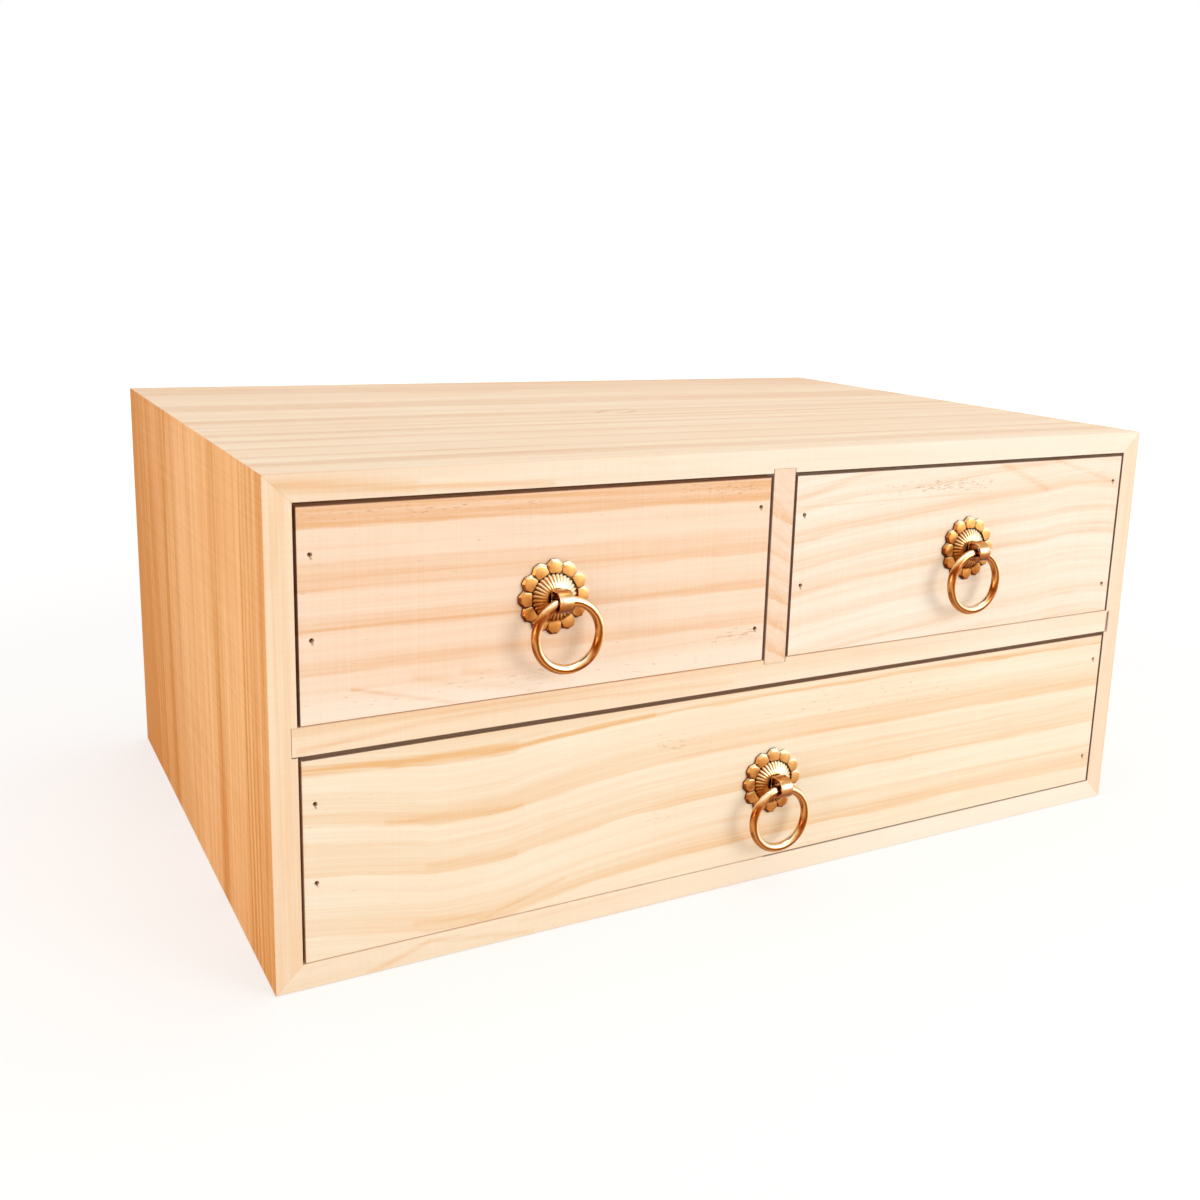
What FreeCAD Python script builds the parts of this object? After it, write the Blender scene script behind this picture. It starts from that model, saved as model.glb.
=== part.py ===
"""Table-top pine chest with three drawers for watercolour paints.

The case is four boards mitred at the corners, a shelf and an upright partition housed in
shallow grooves, and a thin back panel let into a rebate. Each drawer is a nailed box with a
brass ring pull: a petalled plate, a fluted boss, a strap bent into an eye, and a loose ring.

Millimetres, +Z up. X runs across the front, the front faces -Y, and the origin is the centre
of the underside of the case.
"""
import FreeCAD, Part
import math
import os

Vector = FreeCAD.Vector

# ---------------------------------------------------------------- case
CASE_WIDTH = 400.0
CASE_DEPTH = 268.0
CASE_HEIGHT = 180.0
CASE_BOARD = 9.5             # thickness of the four outer boards
DIVIDER_BOARD = 10.5         # thickness of the shelf and the partition
HOUSING_DEPTH = 2.0          # how far shelf and partition are let into their neighbours
HOUSING_PLAY = 0.3           # gap left past the ends of the shelf in its housings
BACK_PANEL_THICKNESS = 3.0
REBATE_WIDTH = 5.0           # how far the back panel is let into each outer board

# ---------------------------------------------------------------- drawers
SIDE_CLEARANCE = 1.0         # from a drawer to the board beside it
TOP_CLEARANCE = 1.2          # from a drawer front to the board above it
SLIDING_CLEARANCE = 0.3      # from a drawer to the board that carries it
REAR_CLEARANCE = 1.5         # from a closed drawer to the back panel
FRONT_THICKNESS = 9.5
WALL_THICKNESS = 8.5
WALL_DROP = 4.0              # top edge of the walls below the top edge of the front
DRAWER_BACK_THICKNESS = 8.5
BOTTOM_THICKNESS = 3.0
BOTTOM_RISE = 4.0            # underside of the bottom panel above the drawer's lower edge
GROOVE_DEPTH = 3.5           # how far the bottom panel is let into the walls and the front

# ---------------------------------------------------------------- nails
NAIL_RADIUS = 0.6
NAIL_HEAD_RADIUS = 0.85
NAIL_HEAD_THICKNESS = 0.5
NAIL_SET = 0.9               # depth of a punched head below the wood
DRAWER_NAIL_LENGTH = 28.0
LEFT_NAIL_DROP = 12.0        # upper nail at the left end, below the top of the wall
RIGHT_NAIL_DROP = 7.5
LEFT_NAIL_RISE = 29.0        # lower nail at the left end, above the drawer's lower edge
RIGHT_NAIL_RISE = 13.5
BACK_NAIL_MARGIN = 14.0      # nails of the drawer back, from the ends of its height
PANEL_NAIL_RADIUS = 0.5
PANEL_NAIL_HEAD_RADIUS = 1.1
PANEL_NAIL_HEAD_THICKNESS = 0.5
PANEL_NAIL_LENGTH = 15.0
PANEL_NAIL_PITCH = 85.0      # widest spacing of the nails round the back panel
PANEL_NAIL_CORNER = 22.0     # first nail from each corner of the back panel

# ---------------------------------------------------------------- ring pulls
PETAL_COUNT = 12
PETAL_SIDES = 8
PETAL_TIP_RADIUS = 13.9      # from the centre of the plate to the outer side of a petal
PETAL_RADIUS = 3.5           # from the middle of a petal to its corners
PETAL_FACET_RADIUS = 2.6     # to the corners of the flat on top of a petal
PETAL_WALL = 0.8             # height of a petal's upright edge
PETAL_RISE = 1.0             # height of the bevels between that edge and the flat
PLATE_THICKNESS = 0.5
BOSS_RADIUS = 8.9
BOSS_FOOT = 1.0              # height of the serrated rim of the boss
BOSS_HEIGHT = 3.0            # from the plate to the flat top of the boss
BOSS_BULGE = 0.35            # how far the fluted slope swells above a straight cone
BOSS_TOP_MARGIN = 0.9        # flat top of the boss beyond the strap
BOSS_GAP = 0.2               # trench between the petals and the boss
FLUTE_COUNT = 32
FLUTE_DEPTH = 0.7            # at the rim of the boss; it fades towards the top
STRAP_WIDTH = 5.4
STRAP_THICKNESS = 0.9
STRAP_SEAM = 0.2             # gap between the two legs of the strap
STRAP_TAIL = 8.0             # length of each leg bent over behind the drawer front
EYE_RADIUS = 4.1             # outside of the eye's round front
EYE_BEND = 2.4               # outside of the bends where the eye leaves the boss
EYE_SPREAD = 4.5             # from the boss to the middle of the eye's round front
SLOT_CLEARANCE = 0.05        # round the legs in the plate and the boss
HOLE_CLEARANCE = 0.15        # round the legs in the drawer front
RING_RADIUS = 12.6           # to the centre of the wire
RING_WIRE_RADIUS = 1.8
RING_CLEARANCE = 0.1         # from the wire to the eye that it hangs in

# Place of each pull from the centre of its drawer front, and how far its ring hangs off
# to one side: (across, up, ring across).
PULL_OFFSETS = {
    "upper_left": (-0.7, -1.5, 2.4),
    "upper_right": (0.0, 0.6, -1.5),
    "lower": (1.5, -3.5, -0.3),
}

# ---------------------------------------------------------------- worked-out places
FRONT_Y = -CASE_DEPTH / 2
REAR_Y = CASE_DEPTH / 2
PANEL_Y = REAR_Y - BACK_PANEL_THICKNESS                 # inner face of the back panel
INNER_X = CASE_WIDTH / 2 - CASE_BOARD                   # inner faces of the sides, +-
FLOOR_Z = CASE_BOARD
CEILING_Z = CASE_HEIGHT - CASE_BOARD
BAY_HEIGHT = (CEILING_Z - FLOOR_Z - DIVIDER_BOARD) / 2
SHELF_Z = FLOOR_Z + BAY_HEIGHT                          # underside of the shelf
UPPER_Z = SHELF_Z + DIVIDER_BOARD                       # top of the shelf
DRAWER_HEIGHT = BAY_HEIGHT - SLIDING_CLEARANCE - TOP_CLEARANCE
WALL_HEIGHT = DRAWER_HEIGHT - WALL_DROP
DRAWER_REAR_Y = PANEL_Y - REAR_CLEARANCE
WALL_Y = FRONT_Y + FRONT_THICKNESS                      # front ends of the drawer walls
PETAL_CIRCLE = PETAL_TIP_RADIUS - PETAL_RADIUS * math.cos(math.pi / PETAL_SIDES)
LEG_HALF = STRAP_THICKNESS + STRAP_SEAM / 2             # half height of the pair of legs
EYE_INNER_RADIUS = EYE_RADIUS - STRAP_THICKNESS
EYE_OUT = PLATE_THICKNESS + BOSS_HEIGHT + EYE_SPREAD    # centre of the eye from the front
RING_INNER_RADIUS = RING_RADIUS - RING_WIRE_RADIUS

# Clear width and floor of the space that each drawer slides in.
BAYS = {
    "upper_left": (-INNER_X, -DIVIDER_BOARD / 2, UPPER_Z),
    "upper_right": (DIVIDER_BOARD / 2, INNER_X, UPPER_Z),
    "lower": (-INNER_X, INNER_X, FLOOR_Z),
}


# ---------------------------------------------------------------- small helpers
def block(x0, x1, y0, y1, z0, z1):
    """A box between two corners."""
    return Part.makeBox(x1 - x0, y1 - y0, z1 - z0, Vector(x0, y0, z0))


def prism_y(points, y0, y1):
    """A closed outline of (x, z) points, drawn out from y0 to y1."""
    corners = [Vector(x, y0, z) for x, z in points]
    wire = Part.makePolygon(corners + corners[:1])
    return Part.Face(wire).extrude(Vector(0, y1 - y0, 0))


def rod(start, direction, radius, length):
    """A round bar from a start point along a direction."""
    return Part.makeCylinder(radius, length, start, direction)


def nail(start, direction, length, radius, head_radius, head_thickness):
    """A nail whose head begins at the start point."""
    head = rod(start, direction, head_radius, head_thickness)
    shank = rod(start, direction, radius, length)
    return head.fuse(shank).removeSplitter()


def spread(first, last, pitch):
    """Evenly spaced values from first to last, no further apart than the pitch."""
    steps = max(1, math.ceil((last - first) / pitch))
    return [first + (last - first) * i / steps for i in range(steps + 1)]


# ---------------------------------------------------------------- case
def back_panel_nails():
    """Nails round the edge of the back panel, heads on its outer face."""
    across = INNER_X + REBATE_WIDTH / 2
    low = FLOOR_Z - REBATE_WIDTH / 2
    high = CEILING_Z + REBATE_WIDTH / 2
    xs = spread(-across + PANEL_NAIL_CORNER, across - PANEL_NAIL_CORNER, PANEL_NAIL_PITCH)
    zs = spread(low + PANEL_NAIL_CORNER, high - PANEL_NAIL_CORNER, PANEL_NAIL_PITCH)
    spots = [(x, z) for x in xs for z in (low, high)]
    spots += [(x, z) for z in zs for x in (-across, across)]
    head_y = REAR_Y
    return [
        nail(Vector(x, head_y, z), Vector(0, -1, 0), PANEL_NAIL_LENGTH, PANEL_NAIL_RADIUS,
             PANEL_NAIL_HEAD_RADIUS, PANEL_NAIL_HEAD_THICKNESS)
        for x, z in spots
    ]


def case_nodes():
    """The four mitred boards, the shelf, the partition and the nailed back panel."""
    half = CASE_WIDTH / 2
    nails = back_panel_nails()
    panel = block(-INNER_X - REBATE_WIDTH, INNER_X + REBATE_WIDTH, PANEL_Y, REAR_Y,
                  FLOOR_Z - REBATE_WIDTH, CEILING_Z + REBATE_WIDTH)
    shelf = block(-INNER_X - HOUSING_DEPTH, INNER_X + HOUSING_DEPTH, FRONT_Y, PANEL_Y,
                  SHELF_Z, UPPER_Z)
    partition = block(-DIVIDER_BOARD / 2, DIVIDER_BOARD / 2, FRONT_Y, PANEL_Y,
                      UPPER_Z - HOUSING_DEPTH, CEILING_Z + HOUSING_DEPTH)
    shelf_housing = block(shelf.BoundBox.XMin - HOUSING_PLAY, shelf.BoundBox.XMax + HOUSING_PLAY,
                          FRONT_Y, PANEL_Y, SHELF_Z, UPPER_Z)
    outer = [(-half, 0), (half, 0), (half, CASE_HEIGHT), (-half, CASE_HEIGHT)]
    inner = [(-INNER_X, FLOOR_Z), (INNER_X, FLOOR_Z), (INNER_X, CEILING_Z), (-INNER_X, CEILING_Z)]
    names = ["bottom_board", "right_side", "top_board", "left_side"]
    let_in = [panel, shelf_housing, partition] + nails
    nodes = {}
    for i, name in enumerate(names):
        j = (i + 1) % len(names)
        board = prism_y([outer[i], outer[j], inner[j], inner[i]], FRONT_Y, REAR_Y)
        nodes[name] = board.cut(let_in)
    nodes["shelf"] = shelf.cut([partition])
    nodes["partition"] = partition
    nodes["back_panel"] = panel.cut(nails)
    nodes["back_panel_nails"] = Part.makeCompound(nails)
    return nodes


# ---------------------------------------------------------------- ring pull
def ring_drop(ring_shift):
    """How far the axis of the hanging ring lies below the centre of the eye.

    The ring's inner side is an arch that rests on the ends of the eye's flat lower band,
    so the wire at its crown stands higher by the rise of that arch.
    """
    reach = STRAP_WIDTH / 2 + abs(ring_shift)
    rise = RING_INNER_RADIUS - math.sqrt(RING_INNER_RADIUS ** 2 - reach ** 2)
    return EYE_INNER_RADIUS - RING_WIRE_RADIUS - RING_CLEARANCE - rise


def legs_slot(x, z, out_from, out_to, clearance):
    """The space that the two legs of the strap take up, between two distances out."""
    half_width = STRAP_WIDTH / 2 + clearance
    half_height = LEG_HALF + clearance
    return block(x - half_width, x + half_width, FRONT_Y - out_to, FRONT_Y - out_from,
                 z - half_height, z + half_height)


def star(x, z, out, crest, valley):
    """A closed zigzag outline with one crest and one valley for each flute."""
    corners = []
    for i in range(2 * FLUTE_COUNT):
        radius = crest if i % 2 == 0 else valley
        angle = math.pi * i / FLUTE_COUNT
        corners.append(Vector(x + radius * math.cos(angle), FRONT_Y - out,
                              z + radius * math.sin(angle)))
    return Part.makePolygon(corners + corners[:1])


def petal(x, z, turn):
    """One petal: an eight-sided upright edge, bevels and a flat on top."""
    spot_x = x + PETAL_CIRCLE * math.cos(turn)
    spot_z = z + PETAL_CIRCLE * math.sin(turn)
    sections = [(0, PETAL_RADIUS), (PETAL_WALL, PETAL_RADIUS),
                (PETAL_WALL + PETAL_RISE, PETAL_FACET_RADIUS)]
    wires = []
    for out, radius in sections:
        corners = []
        for i in range(PETAL_SIDES):
            angle = turn + 2 * math.pi * (i + 0.5) / PETAL_SIDES
            corners.append(Vector(spot_x + radius * math.cos(angle), FRONT_Y - out,
                                  spot_z + radius * math.sin(angle)))
        wires.append(Part.makePolygon(corners + corners[:1]))
    return Part.makeLoft(wires, True, True)


def pull_rosette(x, z):
    """Plate with a ring of bevelled petals and a slot for the strap."""
    face = Vector(x, FRONT_Y, z)
    outward = Vector(0, -1, 0)
    plate = rod(face, outward, PETAL_CIRCLE, PLATE_THICKNESS)
    petals = [petal(x, z, 2 * math.pi * i / PETAL_COUNT) for i in range(PETAL_COUNT)]
    body = plate.multiFuse(petals)
    seat = rod(face + outward * PLATE_THICKNESS, outward, BOSS_RADIUS + BOSS_GAP, BOSS_HEIGHT)
    slot = legs_slot(x, z, 0, PLATE_THICKNESS, SLOT_CLEARANCE)
    return body.cut([seat, slot]).removeSplitter()


def pull_boss(x, z):
    """Fluted boss that stands on the plate, slotted for the strap."""
    top_radius = STRAP_WIDTH / 2 + BOSS_TOP_MARGIN
    shoulder = PLATE_THICKNESS + BOSS_FOOT
    top = PLATE_THICKNESS + BOSS_HEIGHT
    middle_radius = (BOSS_RADIUS + top_radius) / 2
    middle_out = (shoulder + top) / 2 + BOSS_BULGE
    fade = FLUTE_DEPTH / BOSS_RADIUS
    sections = [(PLATE_THICKNESS, BOSS_RADIUS), (shoulder, BOSS_RADIUS),
                (middle_out, middle_radius), (top, top_radius)]
    wires = [star(x, z, out, radius, radius * (1 - fade)) for out, radius in sections]
    body = Part.makeLoft(wires, True, True)
    return body.cut(legs_slot(x, z, PLATE_THICKNESS, top, SLOT_CLEARANCE))


def eye_bar(x, z, radius, spread, bend):
    """A bar across the strap, half round in front of the eye's centre, with two bends behind."""
    left = x - STRAP_WIDTH / 2
    middle = FRONT_Y - EYE_OUT
    nook = bend * math.cos(math.pi / 4)

    def spot(out, height):
        return Vector(left, middle - out, z + height)

    def bent(side):
        return Part.Arc(spot(bend - spread, side * radius),
                        spot(bend - nook - spread, side * (radius - bend + nook)),
                        spot(-spread, side * (radius - bend))).toShape()

    edges = [
        Part.Arc(spot(0, radius), spot(radius, 0), spot(0, -radius)).toShape(),
        Part.LineSegment(spot(0, -radius), spot(bend - spread, -radius)).toShape(),
        bent(-1),
        Part.LineSegment(spot(-spread, bend - radius), spot(-spread, radius - bend)).toShape(),
        bent(1),
        Part.LineSegment(spot(bend - spread, radius), spot(0, radius)).toShape(),
    ]
    return Part.Face(Part.Wire(edges)).extrude(Vector(STRAP_WIDTH, 0, 0))


def pull_strap(x, z):
    """Flat strap bent into an eye, its legs led through the front and bent over behind it."""
    left = x - STRAP_WIDTH / 2
    eye = eye_bar(x, z, EYE_RADIUS, EYE_SPREAD, EYE_BEND)
    legs = legs_slot(x, z, -FRONT_THICKNESS, EYE_OUT, 0)
    tail_height = STRAP_TAIL + LEG_HALF
    tails = block(left, left + STRAP_WIDTH, WALL_Y, WALL_Y + STRAP_THICKNESS,
                  z - tail_height, z + tail_height)
    hole = eye_bar(x, z, EYE_INNER_RADIUS, EYE_SPREAD - STRAP_THICKNESS,
                   EYE_BEND - STRAP_THICKNESS)
    seam = block(left, left + STRAP_WIDTH, FRONT_Y - EYE_OUT, WALL_Y + STRAP_THICKNESS,
                 z - STRAP_SEAM / 2, z + STRAP_SEAM / 2)
    return eye.multiFuse([legs, tails]).cut([hole, seam]).removeSplitter()


def pull_ring(x, z, ring_shift):
    """Round wire ring, hanging through the eye."""
    centre_z = z - ring_drop(ring_shift) - RING_RADIUS
    centre = Vector(x + ring_shift, FRONT_Y - EYE_OUT, centre_z)
    return Part.makeTorus(RING_RADIUS, RING_WIRE_RADIUS, centre, Vector(0, 1, 0))


# ---------------------------------------------------------------- drawers
def front_nails(left, right, low):
    """Punched nails through the front into the ends of both walls."""
    wall_top = low + WALL_HEIGHT
    spots = [
        (left + WALL_THICKNESS / 2, wall_top - LEFT_NAIL_DROP),
        (left + WALL_THICKNESS / 2, low + LEFT_NAIL_RISE),
        (right - WALL_THICKNESS / 2, wall_top - RIGHT_NAIL_DROP),
        (right - WALL_THICKNESS / 2, low + RIGHT_NAIL_RISE),
    ]
    return [
        nail(Vector(x, FRONT_Y + NAIL_SET, z), Vector(0, 1, 0), DRAWER_NAIL_LENGTH,
             NAIL_RADIUS, NAIL_HEAD_RADIUS, NAIL_HEAD_THICKNESS)
        for x, z in spots
    ]


def back_nails(left, right, panel_top, wall_top):
    """Nails through both walls into the ends of the drawer back."""
    y = DRAWER_REAR_Y - DRAWER_BACK_THICKNESS / 2
    nails = []
    for z in (panel_top + BACK_NAIL_MARGIN, wall_top - BACK_NAIL_MARGIN):
        for x, inward in ((left, 1), (right, -1)):
            nails.append(nail(Vector(x, y, z), Vector(inward, 0, 0), DRAWER_NAIL_LENGTH,
                              NAIL_RADIUS, NAIL_HEAD_RADIUS, NAIL_HEAD_THICKNESS))
    return nails


def drawer_nodes(name):
    """One drawer: nailed box, bottom panel in its grooves, and the ring pull."""
    bay_left, bay_right, bay_floor = BAYS[name]
    left = bay_left + SIDE_CLEARANCE
    right = bay_right - SIDE_CLEARANCE
    low = bay_floor + SLIDING_CLEARANCE
    wall_top = low + WALL_HEIGHT
    panel_low = low + BOTTOM_RISE
    panel_top = panel_low + BOTTOM_THICKNESS
    inner_left = left + WALL_THICKNESS
    inner_right = right - WALL_THICKNESS

    across, up, ring_shift = PULL_OFFSETS[name]
    pull_x = (left + right) / 2 + across
    pull_z = low + DRAWER_HEIGHT / 2 + up
    hole_radius = math.hypot(STRAP_WIDTH / 2, LEG_HALF) + HOLE_CLEARANCE
    pull_hole = rod(Vector(pull_x, FRONT_Y, pull_z), Vector(0, 1, 0), hole_radius,
                    FRONT_THICKNESS)

    nails = front_nails(left, right, low)
    rear_nails = back_nails(left, right, panel_top, wall_top)
    pockets = [
        rod(Vector(n.BoundBox.Center.x, FRONT_Y, n.BoundBox.Center.z), Vector(0, 1, 0),
            NAIL_HEAD_RADIUS, NAIL_SET)
        for n in nails
    ]
    bottom = block(inner_left - GROOVE_DEPTH, inner_right + GROOVE_DEPTH,
                   WALL_Y - GROOVE_DEPTH, DRAWER_REAR_Y, panel_low, panel_top)
    front = block(left, right, FRONT_Y, WALL_Y, low, low + DRAWER_HEIGHT)
    left_wall = block(left, inner_left, WALL_Y, DRAWER_REAR_Y, low, wall_top)
    right_wall = block(inner_right, right, WALL_Y, DRAWER_REAR_Y, low, wall_top)
    back = block(inner_left, inner_right, DRAWER_REAR_Y - DRAWER_BACK_THICKNESS, DRAWER_REAR_Y,
                 panel_top, wall_top)
    return {
        name + "_front": front.cut([bottom, pull_hole] + nails + pockets),
        name + "_left_wall": left_wall.cut([bottom] + nails + rear_nails),
        name + "_right_wall": right_wall.cut([bottom] + nails + rear_nails),
        name + "_back": back.cut(rear_nails),
        name + "_bottom": bottom,
        name + "_front_nails": Part.makeCompound(nails),
        name + "_back_nails": Part.makeCompound(rear_nails),
        name + "_pull_rosette": pull_rosette(pull_x, pull_z),
        name + "_pull_boss": pull_boss(pull_x, pull_z),
        name + "_pull_strap": pull_strap(pull_x, pull_z),
        name + "_pull_ring": pull_ring(pull_x, pull_z, ring_shift),
    }


# ---------------------------------------------------------------- write the parts
def main():
    """Build every piece and write one STEP file for each."""
    nodes = case_nodes()
    for name in BAYS:
        nodes.update(drawer_nodes(name))
    os.makedirs("parts", exist_ok=True)
    for name, shape in nodes.items():
        shape.exportStep(os.path.join("parts", name + ".step"))
        size = shape.BoundBox
        print("%-28s solids %2d  volume %10.1f  %.1f x %.1f x %.1f mm" % (
            name, len(shape.Solids), shape.Volume, size.XLength, size.YLength, size.ZLength))


main()
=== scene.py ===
"""Dresses the three-drawer pine paint chest: boards, back panel, nails and brass ring pulls.

Every class below stands for one sub-assembly or one finish of the chest. Lengths in the
dataclasses are millimetres, written as a maker measures them, and MM turns them into metres.
"""
import logging
import math
import random
from contextlib import contextmanager
from dataclasses import dataclass, replace
from enum import Enum
from functools import cached_property, reduce
from typing import Callable, Iterator, Optional, Sequence, Union

import bmesh
import bpy
from mathutils import Color, Matrix, Vector

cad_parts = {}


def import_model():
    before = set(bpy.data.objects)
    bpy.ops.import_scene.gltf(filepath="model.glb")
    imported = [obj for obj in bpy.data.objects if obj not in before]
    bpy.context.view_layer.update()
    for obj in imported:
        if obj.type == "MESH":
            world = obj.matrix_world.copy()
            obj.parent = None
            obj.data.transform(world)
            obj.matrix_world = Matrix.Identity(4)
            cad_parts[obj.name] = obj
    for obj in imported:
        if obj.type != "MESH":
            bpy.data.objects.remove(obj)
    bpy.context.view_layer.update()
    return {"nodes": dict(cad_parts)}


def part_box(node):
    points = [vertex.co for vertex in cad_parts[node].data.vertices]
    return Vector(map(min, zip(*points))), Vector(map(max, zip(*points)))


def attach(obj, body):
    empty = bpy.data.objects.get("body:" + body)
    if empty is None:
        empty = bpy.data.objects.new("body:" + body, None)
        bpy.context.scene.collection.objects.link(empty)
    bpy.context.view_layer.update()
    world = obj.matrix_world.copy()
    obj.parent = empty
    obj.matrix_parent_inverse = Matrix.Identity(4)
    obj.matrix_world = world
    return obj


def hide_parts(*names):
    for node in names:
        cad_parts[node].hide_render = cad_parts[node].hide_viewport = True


LOG = logging.getLogger("paint_chest")
MM = 0.001
CASE_FRONT = -134.0  # the plane that the boards' front edges and the drawer fronts share
CASE_TOP = 180.0
LEFT_FACE = -200.0
PULL_REACH = 13.9  # from the middle of a pull to its furthest petal
NOISE_LOW, NOISE_HIGH = 0.3, 0.7  # a cloudy pattern seldom leaves this range

Piece = bpy.types.Object
Spot = tuple[float, float]
Triple = tuple[float, float, float]
Stops = tuple[Spot, ...]


# ---------------------------------------------------------------- colours and directions
@dataclass(frozen=True)
class Tint:
    """A colour as red, green and blue from 0 to 255, as a paint card gives it."""

    red: float
    green: float
    blue: float

    def linear(self) -> tuple[float, float, float, float]:
        """The colour as the scene-linear value that a shader socket holds."""
        card = Color((self.red / 255, self.green / 255, self.blue / 255))
        return (*card.from_srgb_to_scene_linear(), 1.0)


Given = Union["Value", Tint, float, Sequence[float], None]


class Lay(Enum):
    """How a board lies: its axes along the grain, across its face and through its thickness."""

    FRONT = (0, 2, 1)
    LID = (0, 1, 2)
    SIDE = (2, 1, 0)
    WALL = (1, 2, 0)


@dataclass(frozen=True)
class Layer:
    """A cloudy pattern.

    Attributes:
        cell: size of its cells; in wood along the grain, across the face and through it.
        detail: how many finer layers it has.
        roughness: strength of the finer layers.
    """

    cell: Triple
    detail: float = 2.0
    roughness: float = 0.5


@dataclass(frozen=True)
class Patch:
    """A soft-edged place on a board where something is stronger, or where the rings bulge.

    Attributes:
        along: place along the grain.
        across: place across the face.
        reach_along: how far it is felt along the grain.
        reach_across: how far it is felt across the face.
        strength: what it adds at its middle.
    """

    along: float
    across: float
    reach_along: float
    reach_across: float
    strength: float


@dataclass(frozen=True)
class Streak:
    """A single thin dark line, such as a split ring or a resin line.

    Attributes:
        start: its first end, along and across.
        end: its other end, along and across.
        width: how wide it is felt.
        strength: how dark it is.
    """

    start: Spot
    end: Spot
    width: float
    strength: float


# ---------------------------------------------------------------- shader graphs
class Value:
    """One result in a shader graph, which adds and multiplies as a number does."""

    def __init__(self, graph: "Graph", socket: bpy.types.NodeSocket) -> None:
        """Holds a node's output and the graph that it is in."""
        self.graph = graph
        self.socket = socket

    def __add__(self, other: Given) -> "Value":
        """The sum."""
        return self.graph.math("ADD", self, other)

    def __sub__(self, other: Given) -> "Value":
        """The difference."""
        return self.graph.math("SUBTRACT", self, other)

    def __mul__(self, other: Given) -> "Value":
        """The product."""
        return self.graph.math("MULTIPLY", self, other)

    def __truediv__(self, other: Given) -> "Value":
        """The quotient."""
        return self.graph.math("DIVIDE", self, other)

    def at_least(self, other: Given) -> "Value":
        """The greater of the two."""
        return self.graph.math("MAXIMUM", self, other)

    def at_most(self, other: Given) -> "Value":
        """The lesser of the two."""
        return self.graph.math("MINIMUM", self, other)

    def scaled(self, low: float, high: float, to_low: float, to_high: float) -> "Value":
        """Maps the range from low to high onto another and holds the ends."""
        return self.graph.step("MapRange", self, low, high, to_low, to_high, clamp=True)

    def swing(self, to_low: float, to_high: float) -> "Value":
        """Maps the usual range of a cloudy pattern onto another."""
        return self.scaled(NOISE_LOW, NOISE_HIGH, to_low, to_high)


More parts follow.
